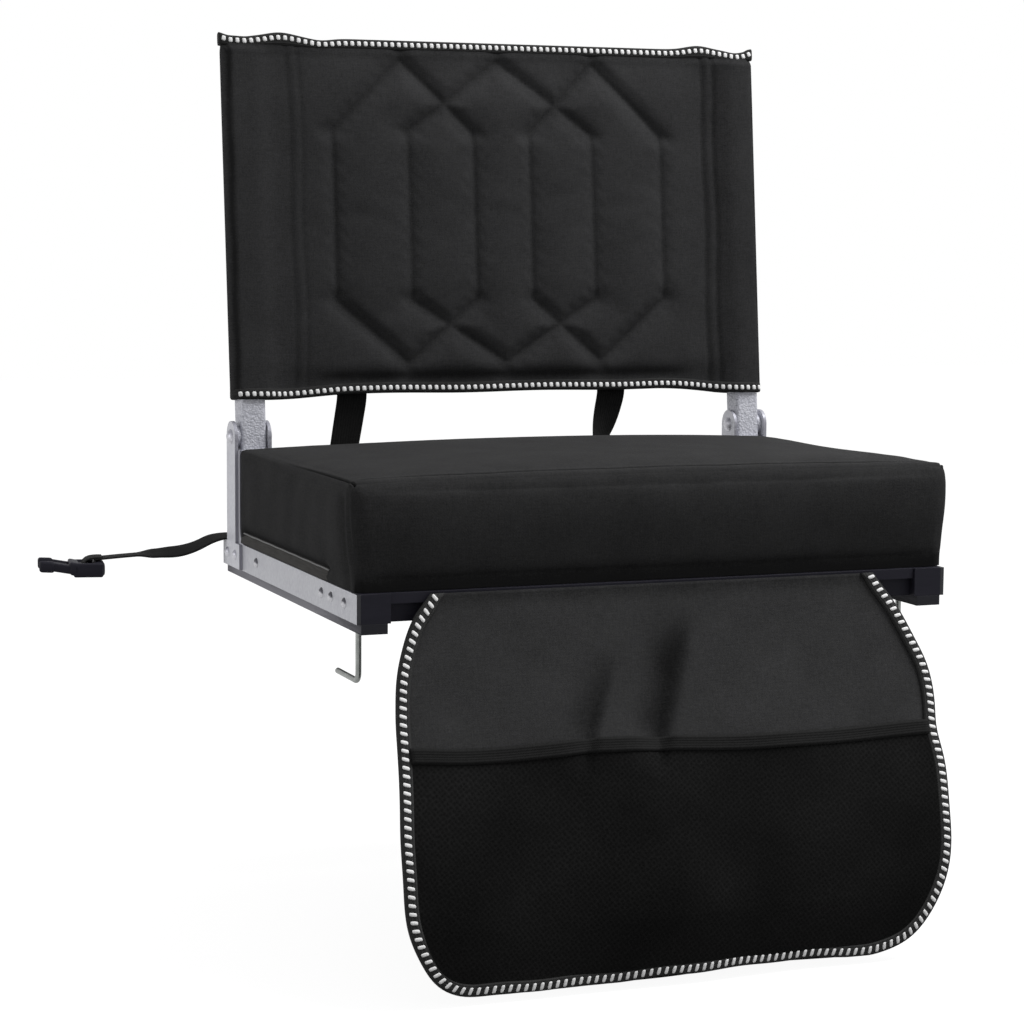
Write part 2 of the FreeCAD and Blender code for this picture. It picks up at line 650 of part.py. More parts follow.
# Screws, rivets and pins that run inward from the outside of the frame
def inward_pin(name, sign, outer, y, z, length, radius, head):
    heading = "+x" if sign < 0 else "-x"
    outward = "-x" if sign < 0 else "+x"
    start = (outer * sign, y, z)
    shank = rod(name + "_shank", heading, start, length, radius)
    cap = dome(name + "_head", outward, start, head)
    return fuse(name, [shank, cap])


through_beam = plate_wall + beam_width
through_hinge = hinge_wall + through_beam + hinge_wall
hinge_outer = half_width + hinge_wall
crossbar_screws = []
plate_screws = []
hinge_rivets = []
crossbar_rivets = []
hinge_pins = []
hinge_spacers = []
hinge_washers = []
for side, sign in (("left", -1), ("right", 1)):
    for index, at in enumerate((front_screw, middle_bar_back)):
        name = f"{side}_crossbar_screw_{index}"
        length = through_beam + screw_bite
        crossbar_screws.append(inward_pin(name, sign, half_width, at, screw_height, length, screw_radius,
                                          screw_round))
    for index, at in enumerate((plate_screw_front, plate_screw_rear)):
        name = f"{side}_plate_screw_{index}"
        length = plate_wall + plate_bite
        plate_screws.append(inward_pin(name, sign, half_width, at, screw_height, length, screw_radius,
                                       screw_round))
    hinge_rivets.append(inward_pin(side + "_hinge_rivet", sign, hinge_outer, rivet_front, rivet_height,
                                   through_hinge, rivet_radius, rivet_round))
    crossbar_rivets.append(inward_pin(side + "_crossbar_rivet", sign, hinge_outer, rivet_rear, rivet_height,
                                      through_hinge + rivet_bite, rivet_radius, rivet_round))
    pin = inward_pin(side + "_pin_outer", sign, hinge_outer, pivot_back, pivot_height, through_hinge,
                     pin_radius, pin_round)
    inward = "+x" if sign < 0 else "-x"
    inner_head = dome(side + "_pin_inner", inward, (inner_plate_in * sign, pivot_back, pivot_height), pin_round)
    hinge_pins.append(fuse(side + "_hinge_pin", [pin, inner_head]))

    tube_outer = tube_centre + tube_side / 2
    start = ((tube_outer + play) * sign, pivot_back, pivot_height)
    outward = "-x" if sign < 0 else "+x"
    wall = half_width - tube_outer - play * 2
    ring = rod(side + "_spacer_ring", outward, start, wall, spacer_radius)
    hole = rod(side + "_spacer_hole", outward, start, wall, bore_radius)
    hinge_spacers.append(cut(side + "_spacer", ring, [hole]))

    tube_inner = tube_centre - tube_side / 2
    start = ((tube_inner - play) * sign, pivot_back, pivot_height)
    wall = tube_inner - beam_inner - play * 2
    ring = rod(side + "_washer_ring", inward, start, wall, spacer_radius)
    hole = rod(side + "_washer_hole", inward, start, wall, bore_radius)
    hinge_washers.append(cut(side + "_washer", ring, [hole]))
keep(group("crossbar_screw_set", crossbar_screws), "crossbar_screws")
keep(group("plate_screw_set", plate_screws), "plate_screws")
keep(group("hinge_rivet_set", hinge_rivets), "hinge_rivets")
keep(group("crossbar_rivet_set", crossbar_rivets), "crossbar_rivets")
keep(group("hinge_pin_set", hinge_pins), "hinge_pins")
keep(group("hinge_spacer_set", hinge_spacers), "hinge_spacers")
keep(group("hinge_washer_set", hinge_washers), "hinge_washers")

# Hooks: a bent rod that turns in the beam, held by a clip above it
bend_turn = FreeCAD.Rotation(V(0, -1, 0), V(0, 0, -1), V(1, 0, 0), "XYZ")
for side, sign in (("left", -1), ("right", 1)):
    hook_x = hook_half * sign
    clip_low = clip_floor + seat_gap
    rod_top = clip_low + clip_wall + rod_above_clip
    bend_height = hook_bend - hook_drop
    leg = rod(side + "_hook_leg", "+z", (hook_x, hook_front, bend_height), rod_top - bend_height, rod_radius)
    bend = doc.addObject("Part::Torus", side + "_hook_bend")
    bend.Placement = FreeCAD.Placement(V(0, 0, 0), bend_turn)
    bend.Angle3 = 90
    bind(bend, "Radius1", hook_bend)
    bind(bend, "Radius2", rod_radius)
    put(bend, (hook_x, hook_front + hook_bend, bend_height))
    start = (hook_x, hook_front + hook_bend, -hook_drop)
    foot = rod(side + "_hook_foot", "+y", start, hook_reach - hook_bend, rod_radius)
    keep(fuse(side + "_hook_rod", [leg, bend, foot]), side + "_hook")
    start = (hook_x, hook_front, clip_low)
    disc = rod(side + "_clip_disc", "+z", start, clip_wall, clip_radius)
    hole = rod(side + "_clip_hole", "+z", start, clip_wall, rod_bore)
    keep(cut(side + "_clip", disc, [hole]), side + "_hook_clip")


# Uprights and their caps, drawn upright around the pivot
def tube_corners(centre, half, corner):
    """Square outline with rounded corners around a point of the x axis."""
    left = centre - half
    right = centre + half
    inner = half - corner
    return [
        (left + corner, -half),
        (right - corner, -half, right - corner, -inner, corner, False),
        (right, -inner),
        (right, inner, right - corner, inner, corner, False),
        (right - corner, half),
        (left + corner, half, left + corner, inner, corner, False),
        (left, inner),
        (left, -inner, left + corner, -inner, corner, False),
    ]


caps = []
for side, sign in (("left", -1), ("right", 1)):
    centre = tube_centre * sign
    half = tube_side / 2
    tube = doc.addObject("PartDesign::Body", side + "_tube")
    sketch = new_sketch(tube, "XY_Plane")
    draw_outline(sketch, tube_corners(centre, half, tube_corner))
    draw_outline(sketch, tube_corners(centre, half - tube_wall, tube_corner - tube_wall / 2))
    bind(sketch, "AttachmentOffset.Base.z", -tube_foot)
    pad = tube.newObject("PartDesign::Pad", side + "_tube_pad")
    pad.Profile = sketch
    bind(pad, "Length", tube_foot + tube_rise)
    start = (centre - tube_side, as_size(0), as_size(0))
    pin_hole = rod(side + "_tube_hole", "+x", start, tube_side * 2, bore_radius)
    upright = cut(side + "_tube_drilled", tube, [pin_hole])
    lean_back(upright)
    keep(upright, side + "_upright")

    cap = doc.addObject("PartDesign::Body", side + "_cap")
    sketch = new_sketch(cap, "XY_Plane")
    draw_outline(sketch, tube_corners(centre, half, tube_corner))
    bind(sketch, "AttachmentOffset.Base.z", tube_rise)
    pad = cap.newObject("PartDesign::Pad", side + "_cap_top")
    pad.Profile = sketch
    bind(pad, "Length", cap_wall)
    sketch = cap.newObject("Sketcher::SketchObject", side + "_cap_plug_outline")
    sketch.AttachmentSupport = [(plane_of(cap, "XY_Plane"), "")]
    sketch.MapMode = "FlatFace"
    plug_half = half - tube_wall - fit_gap
    draw_outline(sketch, tube_corners(centre, plug_half, tube_corner - tube_wall / 2))
    bind(sketch, "AttachmentOffset.Base.z", tube_rise)
    pad = cap.newObject("PartDesign::Pad", side + "_cap_plug")
    pad.Profile = sketch
    pad.Reversed = True
    bind(pad, "Length", cap_plug)
    lean_back(cap)
    caps.append(cap)
keep(group("cap_set", caps), "upright_caps")
doc.recompute()

far = 600


# Seat cushion: sections across the seat, lofted from front to rear
def cushion_section(y, half, low, edge, crown, inset):
    """Flat underside, sides drawn in, crowned top; inset moves every wall inward."""
    top_half = half - inset
    low_half = half - float(cover_taper) - inset
    mid_half = (top_half + low_half) / 2 - float(cover_draw)
    top = edge - inset
    middle = (low + top) / 2
    low_left = V(-low_half, y, low)
    low_right = V(low_half, y, low)
    top_left = V(-top_half, y, top)
    top_right = V(top_half, y, top)
    edges = [
        edge_line(low_left, low_right),
        edge_arc(low_right, V(mid_half, y, middle), top_right),
        edge_arc(top_right, V(0, y, top + crown), top_left),
        edge_arc(top_left, V(-mid_half, y, middle), low_left),
    ]
    return Part.Wire(edges)


def cushion_form(inset, low):
    front = float(cover_front) + inset
    rear = float(cover_rear) - inset
    edge = float(cover_edge)
    crown = float(cover_crown)
    rounding = float(cover_round)
    wide = float(cover_front_half)
    slim = float(cover_rear_half)
    waist = float(cover_waist)
    length = rear - front
    places = [
        (front, wide - rounding * 0.3, edge - rounding * 0.8, crown * 0.2),
        (front + rounding * 0.3, wide - rounding * 0.08, edge - rounding * 0.2, crown * 0.3),
        (front + rounding, wide, edge, crown * 0.42),
        (front + length * 0.28, wide - waist * 0.6, edge, crown * 0.9),
        (front + length * 0.5, wide - waist, edge, crown),
        (front + length * 0.72, (wide + slim) / 2, edge, crown),
        (rear - rounding, slim, edge, crown * 0.8),
        (rear - rounding * 0.3, slim, edge - rounding * 0.2, crown * 0.7),
        (rear, slim - rounding * 0.3, edge - rounding * 0.8, crown * 0.6),
    ]
    below = float(cover_low - cover_wall)
    wires = [cushion_section(y, half, below, top, rise, inset) for y, half, top, rise in places]
    form = Part.makeLoft(wires, True, True)
    if low <= below:
        return form
    return form.cut(Part.makeBox(2 * far, 2 * far, low, V(-far, -far, 0)))


cover_shape = cushion_form(0, float(cover_low)).cut(cushion_form(float(cover_wall), float(cover_low - cover_wall)))
hem_cut = Part.makeBox(2 * far, far, float(board_top + seat_gap), V(-far, float(hem_front), 0))
feature("seat_cover", cover_shape.cut(hem_cut))
feature("seat_foam", cushion_form(float(cover_wall + seat_gap), float(board_top)))


# Back cover: sections at several heights, lofted upwards around the pivot
def back_section(height, sleeve, seam, pad, rear):
    half = float(back_half)
    shoulder = half - float(sleeve_depth) * 0.52
    swell = half - float(sleeve_depth) * 0.11
    inner = float(tube_centre - tube_side / 2 + tube_wall)
    at_seam = float(seam_half)

    def at(x, depth):
        return V(x, depth, height)

    edges = [
        edge_arc(at(-half, 0), at(-swell, -sleeve * 0.66), at(-shoulder, -sleeve)),
        edge_line(at(-shoulder, -sleeve), at(-inner, -sleeve)),
        edge_line(at(-inner, -sleeve), at(-at_seam, -seam)),
        edge_arc(at(-at_seam, -seam), at(0, -pad), at(at_seam, -seam)),
        edge_line(at(at_seam, -seam), at(inner, -sleeve)),
        edge_line(at(inner, -sleeve), at(shoulder, -sleeve)),
        edge_arc(at(shoulder, -sleeve), at(swell, -sleeve * 0.66), at(half, 0)),
        edge_arc(at(half, 0), at(swell, sleeve * 0.66), at(shoulder, sleeve)),
        edge_line(at(shoulder, sleeve), at(inner, sleeve)),
        edge_line(at(inner, sleeve), at(at_seam, rear)),
        edge_line(at(at_seam, rear), at(-at_seam, rear)),
        edge_line(at(-at_seam, rear), at(-inner, sleeve)),
        edge_line(at(-inner, sleeve), at(-shoulder, sleeve)),
        edge_arc(at(-shoulder, sleeve), at(-swell, sleeve * 0.66), at(-half, 0)),
    ]
    return Part.Wire(edges)


sleeve = float(sleeve_depth)
seam = float(seam_depth)
pad_rise = float(pad_depth)
thin = float(edge_depth)
back_low = float(back_bottom)
back_top = float(back_bottom + back_height)
cloth_low = float(back_bottom + binding_height)
cloth_top = float(back_bottom + back_height - binding_height)
sleeve_top = float(tube_rise + cap_wall + sleeve_room)
slope_low = cloth_low + float(pad_slope_low)
slope_top = sleeve_top - float(pad_slope_top)
low_section = (sleeve, thin * 1.2, thin * 1.5, thin * 1.1)
full_section = (sleeve, seam, pad_rise, seam)
high_section = (sleeve, seam * 0.75, seam * 0.85, seam * 0.75)
top_section = (thin * 1.06, thin * 0.94, thin, thin * 0.94)
cloth_wires = [
    back_section(cloth_low, *low_section),
    back_section(slope_low, *full_section),
    back_section(slope_top, *full_section),
    back_section(sleeve_top, *high_section),
    back_section(cloth_top, *top_section),
]
cloth = Part.makeLoft(cloth_wires, True, True)
low_strip = Part.Face(back_section(back_low, *low_section)).extrude(V(0, 0, cloth_low - back_low))
top_strip = Part.Face(back_section(cloth_top, *top_section)).extrude(V(0, 0, back_top - cloth_top))

channels = []
channel_side = float(tube_side + tube_room * 2)
for sign in (-1, 1):
    corner = V(sign * float(tube_centre) - channel_side / 2, -channel_side / 2, back_low - seam)
    channel = Part.makeBox(channel_side, channel_side, sleeve_top - back_low + seam, corner)
    upright_edges = [edge for edge in channel.Edges if abs(edge.tangentAt(edge.FirstParameter).z) > 0.9]
    channels.append(channel.makeFillet(float(tube_corner), upright_edges))

foam_low = cloth_low + float(foam_margin)
foam_top = sleeve_top - float(foam_margin)
foam_box_half = float(foam_half)
foam_thick = float(foam_depth)
room = float(seat_gap)
foam_shape = Part.makeBox(2 * foam_box_half, 2 * foam_thick, foam_top - foam_low,
                          V(-foam_box_half, -foam_thick, foam_low))
foam_room = Part.makeBox(2 * (foam_box_half + room), 2 * (foam_thick + room), foam_top - foam_low + 2 * room,
                         V(-foam_box_half - room, -foam_thick - room, foam_low - room))


def pad_surface(x, height):
    """Depth of the pad's front face at a point."""
    along = (x / float(seam_half)) ** 2
    if height < slope_low:
        share = (height - cloth_low) / (slope_low - cloth_low)
        edge = thin * 1.2 + (seam - thin * 1.2) * share
        middle = thin * 1.5 + (pad_rise - thin * 1.5) * share
    elif height > slope_top:
        share = (height - slope_top) / (sleeve_top - slope_top)
        edge = seam + (seam * 0.75 - seam) * share
        middle = pad_rise + (seam * 0.85 - pad_rise) * share
    else:
        edge = seam
        middle = pad_rise
    return -(middle + (edge - middle) * along)


def groove(start, end):
    """V-groove along one quilting line between two (x, height) points."""
    run = math.hypot(end[0] - start[0], end[1] - start[1])
    along = ((end[0] - start[0]) / run, (end[1] - start[1]) / run)
    wires = []
    for point, shift in ((start, -1), (end, 1)):
        x = point[0] + along[0] * shift
        height = point[1] + along[1] * shift
        face = pad_surface(x, height)
        wide = float(quilt_width)
        deep = float(quilt_depth)
        left = V(x - along[1] * wide, face - deep * 0.5, height + along[0] * wide)
        right = V(x + along[1] * wide, face - deep * 0.5, height - along[0] * wide)
        tip = V(x, face + deep, height)
        wires.append(Part.makePolygon([left, right, tip, left]))
    return Part.makeLoft(wires, True, True)


line_low = float(back_bottom + quilt_low)
line_high = float(back_bottom + quilt_high)
point_low = float(back_bottom + quilt_foot)
point_high = float(back_bottom + quilt_top)
outer_x = float(quilt_outer)
middle_x = float(quilt_middle)
inner_x = float(quilt_inner)
wing_x = (outer_x + inner_x) / 2
hexagons = ((-outer_x, -wing_x, -inner_x), (-middle_x, 0.0, middle_x), (inner_x, wing_x, outer_x))
grooves = []
for left_x, peak_x, right_x in hexagons:
    ring = [(left_x, line_low), (left_x, line_high), (peak_x, point_high), (right_x, line_high),
            (right_x, line_low), (peak_x, point_low)]
    for index, start in enumerate(ring):
        end = ring[(index + 1) % len(ring)]
        bend = slope_top
        if min(start[1], end[1]) < bend < max(start[1], end[1]):
            share = (bend - start[1]) / (end[1] - start[1])
            middle = (start[0] + (end[0] - start[0]) * share, bend)
            grooves.append(groove(start, middle))
            grooves.append(groove(middle, end))
        else:
            grooves.append(groove(start, end))
for tool in channels + [foam_room] + grooves:
    cloth = cloth.cut(tool)
for channel in channels:
    low_strip = low_strip.cut(channel)
for label, shape in (("back_cover", cloth), ("back_foam", foam_shape),
                     ("back_top_binding", top_strip), ("back_bottom_binding", low_strip)):
    lean_back(feature(label, shape))

# Straps from the back's lower binding down to the rear crossbar
lean = math.radians(float(recline))
lap_depth = low_section[3] + room + 0.2
lap_high = back_low + float(strap_lap)


def on_back(depth, height):
    """World y and z of a point of the reclined back."""
    y = float(pivot_back) + depth * math.cos(lean) + height * math.sin(lean)
    z = float(pivot_height) - depth * math.sin(lean) + height * math.cos(lean)
    return y, z


strap_pieces = (("left_back_strap", left_strap_top, left_strap_foot),
                ("right_back_strap", right_strap_top, right_strap_foot))
tab_top = float(rail_top + seat_gap)
tab_low = tab_top - float(strap_tab)
bar_face = float(rear_bar_rear)
webbing = float(strap_wall)
clamps = []
clamp_screws = []
for label, top_x, foot_x in strap_pieces:
    half = float(strap_width) / 2
    lap_y, lap_z = on_back(lap_depth, lap_high)
    low_y, low_z = on_back(lap_depth, back_low - 1)
    path = [(float(foot_x), bar_face, tab_low), (float(foot_x), bar_face, tab_top),
            (float(top_x), low_y, low_z), (float(top_x), lap_y, lap_z)]
    front_edge = [V(x - half, y, z) for x, y, z in path]
    pieces = []
    for index in range(3):
        a = front_edge[index]
        b = front_edge[index + 1]
        sheet_face = Part.Face(Part.makePolygon([a, b, b + V(2 * half, 0, 0), a + V(2 * half, 0, 0), a]))
        pieces.append(sheet_face.extrude(V(0, webbing, 0)))
    strap = pieces[0].fuse(pieces[1:]).removeSplitter()
    hole = Part.makeCylinder(float(screw_bore), 4 * webbing, V(float(foot_x), bar_face - webbing,
                             float(clamp_screw_height)), V(0, 1, 0))
    feature(label, strap.cut(hole))
clamp_low = clamp_screw_height - clamp_height / 2
clamp_front = rear_bar_rear + strap_wall
clamp_back = clamp_front + clamp_wall
for index, foot_x in enumerate(strap_feet):
    x_span = (foot_x - strap_width / 2, foot_x + strap_width / 2)
    clamp = block(f"clamp_bar_{index}", x_span, (clamp_front, clamp_back), (clamp_low, clamp_low + clamp_height))
    start = (foot_x, clamp_front, clamp_screw_height)
    hole = rod(f"clamp_hole_{index}", "+y", start, clamp_wall, screw_bore)
    clamps.append(cut(f"clamp_{index}", clamp, [hole]))
    start = (foot_x, clamp_back, clamp_screw_height)
    shank = rod(f"clamp_shank_{index}", "-y", start, clamp_wall + strap_wall + clamp_screw_bite, screw_radius)
    head = dome(f"clamp_head_{index}", "+y", start, screw_round)
    clamp_screws.append(fuse(f"clamp_screw_{index}", [shank, head]))
keep(group("clamp_set", clamps), "strap_clamps")
keep(group("clamp_screw_set", clamp_screws), "strap_screws")

# Closing strap: flat webbing from the left beam down to its buckle
closing_angle = math.radians(float(closing_turn))
forward = V(-math.cos(closing_angle), math.sin(closing_angle), 0)
across = V(math.sin(closing_angle), math.cos(closing_angle), 0)
strap_height = float(rail_top + closing_lift + strap_wall / 2)
flat_run = float(closing_flat)
step_run = float(closing_step)
shares = (closing_first_share, closing_second_share, closing_third_share)
heights = [strap_height, strap_height] + [strap_height * float(share) for share in shares]
heights.append(float(buckle_wall * closing_end_share))
reaches = [0, flat_run] + [flat_run + step_run * count for count in (1, 2, 3, 4)]
anchor = V(float(closing_left), float(closing_back), 0)
route = [anchor + forward * reach + V(0, 0, height) for reach, height in zip(reaches, heights)]


def rounded_route(points):
    """Straight runs joined by tangent arcs; prints each arc's radius."""
    edges = []
    here = points[0]
    for before, corner, after in zip(points, points[1:], points[2:]):
        to_before = (before - corner).normalize()
        to_after = (after - corner).normalize()
        turn = math.pi - to_before.getAngle(to_after)
        shorter = min((before - corner).Length, (after - corner).Length)
        radius = 0.45 * shorter / math.tan(turn / 2)
        print("closing strap arc radius", round(radius, 2))
        reach = 0.45 * shorter
        begin = corner + to_before * reach
        end = corner + to_after * reach
        inward = (to_before + to_after).normalize()
        middle = corner + inward * (radius / math.cos(turn / 2) - radius)
        edges.append(edge_line(here, begin))
        edges.append(edge_arc(begin, middle, end))
        here = end
    edges.append(edge_line(here, points[-1]))
    return Part.Wire(edges)


spine = rounded_route(route)
half = float(closing_width) / 2
rim = [anchor + V(0, 0, strap_height) + across * side + V(0, 0, lift)
       for side, lift in ((-half, -webbing / 2), (half, -webbing / 2), (half, webbing / 2), (-half, webbing / 2))]
closing_shape = spine.makePipeShell([Part.makePolygon(rim + rim[:1])], True, True)
print("closing strap length", round(spine.Length, 2))
print("closing strap volume over section times length",
      round(closing_shape.Volume / (2 * half * webbing * spine.Length), 4))
screw_spot = V(float(closing_screw_at[0]), float(closing_screw_at[1]), 0)
closing_hole = Part.makeCylinder(float(screw_bore), 2 * strap_height, screw_spot)
feature("closing_strap", closing_shape.cut(closing_hole))
clamp_z = rail_top + closing_lift + strap_wall
clamp_spin = FreeCAD.Rotation(V(0, 0, 1), -float(closing_turn))
plate_long = float(closing_flat) * 0.6
plate_shape = Part.makeBox(plate_long, 2 * half, float(clamp_wall), V(-plate_long / 2, -half, 0))
plate_shape.Placement = FreeCAD.Placement(screw_spot + V(0, 0, float(clamp_z)), clamp_spin)
feature("closing_strap_clamp", plate_shape.cut(closing_hole))
start = (closing_screw_at[0], closing_screw_at[1], clamp_z + clamp_wall)
screw_drop = clamp_wall + strap_wall + closing_lift + clamp_screw_bite
shank = rod("closing_shank", "-z", start, screw_drop, screw_radius)
head = dome("closing_head", "+z", start, screw_round)
keep(fuse("closing_screw_set", [shank, head]), "closing_strap_screw")

# Buckle half at the strap's end, drawn along +x and turned into the strap's line
body_long = float(buckle_body)
whole_long = float(buckle_length)
wide = float(buckle_half)
tall = float(buckle_wall)
prong_wide = wide * 0.3
prong_low = tall * 0.15
prong_tall = tall * 0.65
buckle = Part.makeBox(body_long, 2 * wide, tall, V(0, -wide, 0))
buckle = buckle.makeFillet(2, [edge for edge in buckle.Edges if abs(edge.tangentAt(edge.FirstParameter).z) > 0.9])
slot = Part.makeBox(4, 1.5 * wide, tall, V(6, -0.75 * wide, 0))
buckle = buckle.cut(slot)
for sign in (-1, 1):
    centre = sign * wide * 0.7
    prong = Part.makeBox(whole_long - body_long - prong_wide / 2, prong_wide, prong_tall,
                         V(body_long, centre - prong_wide / 2, prong_low))
    tip = Part.makeCylinder(prong_wide / 2 + 1.2, prong_tall, V(whole_long - prong_wide / 2 - 1.2, centre, prong_low))
    buckle = buckle.fuse([prong, tip])
tongue = Part.makeBox((whole_long - body_long) * 0.8, wide * 0.35, prong_tall * 0.7,
                      V(body_long, -wide * 0.175, prong_low * 1.6))
buckle = buckle.fuse(tongue).removeSplitter()
buckle.Placement = FreeCAD.Placement(anchor + forward * (reaches[-1] + room),
                                     FreeCAD.Rotation(V(0, 0, 1), 180 - float(closing_turn)))
feature("closing_buckle", buckle)


# Front flap: a hanging profile drawn in YZ, trimmed by an outline drawn in XZ
def hang_profile(front, rear):
    """Section of the hanging cloth between two depths, negative depths are in front."""
    root = float(flap_root)
    top = float(flap_top)
    knee = float(flap_knee)
    knee_out = float(flap_knee_out)
    drop = float(flap_length)
    out = float(flap_out)
    marks = [
        (0, 0),
        (knee / 2, knee_out / 2 - float(flap_bow_upper)),
        (knee, knee_out),
        ((knee + drop) / 2, (knee_out + out) / 2 + float(flap_bow_lower)),
        (drop, out),
    ]
    ahead = [V(-far / 2, root - reach + front, top - fall) for fall, reach in marks]
    behind = [V(-far / 2, root - reach + rear, top - fall) for fall, reach in marks]
    edges = [
        edge_arc(ahead[0], ahead[1], ahead[2]),
        edge_arc(ahead[2], ahead[3], ahead[4]),
        edge_line(ahead[4], behind[4]),
        edge_arc(behind[4], behind[3], behind[2]),
        edge_arc(behind[2], behind[1], behind[0]),
        edge_line(behind[0], ahead[0]),
    ]
    return Part.Face(Part.Wire(edges)).extrude(V(far, 0, 0))


def flap_prism(inset):
    """Outline of the flap, moved inward at the sides and the bottom."""
    top = float(flap_top)
    low = top - float(flap_length) + inset
    half = float(flap_half) - inset
    waist = V(float(flap_waist_half) - inset, 0, top - float(flap_waist))
    shoulder = V(float(flap_shoulder_half) - inset * 0.85, 0, top - float(flap_shoulder) - inset * 0.5)
    head = V(float(flap_top_half) - inset * 1.3, 0, top)
    corner = float(flap_corner) - inset
    side = V(half, 0, low + corner)
    bend = V(half - corner * (1 - math.sqrt(0.5)), 0, low + corner * (1 - math.sqrt(0.5)))
    foot = V(half - corner, 0, low)

    def flip(point):
        return V(-point.x, 0, point.z)

    edges = [
        edge_arc(head, shoulder, waist),
        edge_line(waist, side),
        edge_arc(side, bend, foot),
        edge_line(foot, flip(foot)),
        edge_arc(flip(foot), flip(bend), flip(side)),
        edge_line(flip(side), flip(waist)),
        edge_arc(flip(waist), flip(shoulder), flip(head)),
        edge_line(flip(head), head),
    ]
    face = Part.Face(Part.Wire(edges))
    face.translate(V(0, -far, 0))
    return face.extrude(V(0, 2 * far, 0))


panel_half = float(flap_wall) / 2
binding_in = float(flap_binding_width)
hem_high = float(flap_top - pocket_drop)
hem_low = float(flap_top - pocket_drop - hem_width)
pocket_rear = -panel_half - float(pocket_gap)
inner_prism = flap_prism(binding_in)
below_hem = Part.makeBox(2 * far, 2 * far, far, V(-far, -far, hem_low - far))
hem_band = Part.makeBox(2 * far, 2 * far, hem_high - hem_low, V(-far, -far, hem_low))
ring = flap_prism(0).cut(inner_prism)
binding_shape = hang_profile(panel_half - float(flap_binding_wall), panel_half).common(ring)
feature("flap_panel", hang_profile(-panel_half, panel_half).common(inner_prism))
feature("flap_binding", binding_shape)
pocket_sheet = hang_profile(pocket_rear - float(pocket_wall), pocket_rear).common(inner_prism)
feature("flap_pocket", pocket_sheet.common(below_hem))
hem_sheet = hang_profile(pocket_rear - float(hem_wall), pocket_rear).common(inner_prism)
feature("pocket_hem", hem_sheet.common(hem_band))

# Check every object, then write one file for each node
doc.recompute()
for item in doc.Objects:
    if "Invalid" in item.State or "Error" in item.State:
        raise RuntimeError(f"{item.Name} did not recompute: {item.State}")
for item in nodes:
    if item.Shape.isNull() or not item.Shape.isValid():
        raise RuntimeError(f"{item.Label} has no valid shape")
    if not item.Shape.Solids:
        raise RuntimeError(f"{item.Label} has no solid")
for item in nodes:
    item.Shape.exportStep(f"parts/{item.Label}.step")
    box = item.Shape.BoundBox
    print(item.Label, len(item.Shape.Solids), "solids", round(item.Shape.Volume), "mm3",
          [round(value, 1) for value in (box.XMin, box.XMax, box.YMin, box.YMax, box.ZMin, box.ZMax)])
print(len(nodes), "nodes")
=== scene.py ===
"""Folding bleacher seat: cloth, trim, finishes, light and camera."""

import math

import bmesh
import bpy
import numpy as np
from mathutils import Matrix, Vector


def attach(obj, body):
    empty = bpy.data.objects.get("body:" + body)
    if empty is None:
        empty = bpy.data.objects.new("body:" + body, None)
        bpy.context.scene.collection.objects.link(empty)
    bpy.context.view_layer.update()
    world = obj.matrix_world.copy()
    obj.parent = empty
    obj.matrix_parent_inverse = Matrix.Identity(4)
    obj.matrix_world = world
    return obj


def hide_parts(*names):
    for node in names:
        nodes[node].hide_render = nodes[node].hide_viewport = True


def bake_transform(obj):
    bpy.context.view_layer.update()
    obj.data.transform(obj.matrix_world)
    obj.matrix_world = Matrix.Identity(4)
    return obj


MM = 0.001
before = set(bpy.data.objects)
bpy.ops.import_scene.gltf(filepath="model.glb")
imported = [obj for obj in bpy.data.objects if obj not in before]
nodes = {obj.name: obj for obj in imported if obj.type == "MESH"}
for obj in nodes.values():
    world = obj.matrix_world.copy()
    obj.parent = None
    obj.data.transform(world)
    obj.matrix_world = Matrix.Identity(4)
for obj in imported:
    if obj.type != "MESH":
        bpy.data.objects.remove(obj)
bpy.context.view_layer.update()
scene = bpy.context.scene


# ---------------------------------------------------------------- camera
def photo_camera():
    """Camera at the photo's place and angle."""
    turn, dip, roll = (math.radians(x) for x in (-21.35, 6.48, 0.43))
    ahead = Vector((-math.sin(turn) * math.cos(dip), math.cos(turn) * math.cos(dip), -math.sin(dip)))
    right = Vector((math.cos(turn), math.sin(turn), 0))
    up = right.cross(ahead)
    level = right * math.cos(roll) + up * math.sin(roll)
    upright = up * math.cos(roll) - right * math.sin(roll)
    lens = bpy.data.cameras.new("photo_camera")
    lens.lens, lens.sensor_width, lens.sensor_fit = 93.18, 36.0, "HORIZONTAL"
    lens.clip_start, lens.clip_end = 0.05, 50
    camera = bpy.data.objects.new("photo_camera", lens)
    scene.collection.objects.link(camera)
    place = Matrix.Identity(4)
    for row in range(3):
        place[row][0], place[row][1], place[row][2] = level[row], upright[row], -ahead[row]
    place.translation = Vector((-0.73354, -1.75989, 0.27098))
    camera.matrix_world = place
    scene.camera = camera


photo_camera()


# ---------------------------------------------------------------- mesh helpers, in millimetres
def piece(name, points, faces, cloth_map=None, finish=None):
    """Mesh object from points in millimetres; cloth_map gives each point's place on the flat cloth."""
    mesh = bpy.data.meshes.new(name)
    mesh.from_pydata((np.asarray(points, float) * MM).tolist(), [], [tuple(int(i) for i in f) for f in faces])
    if cloth_map is not None:
        layer = mesh.uv_layers.new(name="cloth")
        corner = np.zeros(len(mesh.loops), np.int32)
        mesh.loops.foreach_get("vertex_index", corner)
        flat = np.asarray(cloth_map, float)[corner] * MM
        layer.data.foreach_set("uv", flat.astype(np.float32).ravel())
    mesh.shade_smooth()
    if finish:
        mesh.materials.append(finish)
    thing = bpy.data.objects.new(name, mesh)
    scene.collection.objects.link(thing)
    return thing


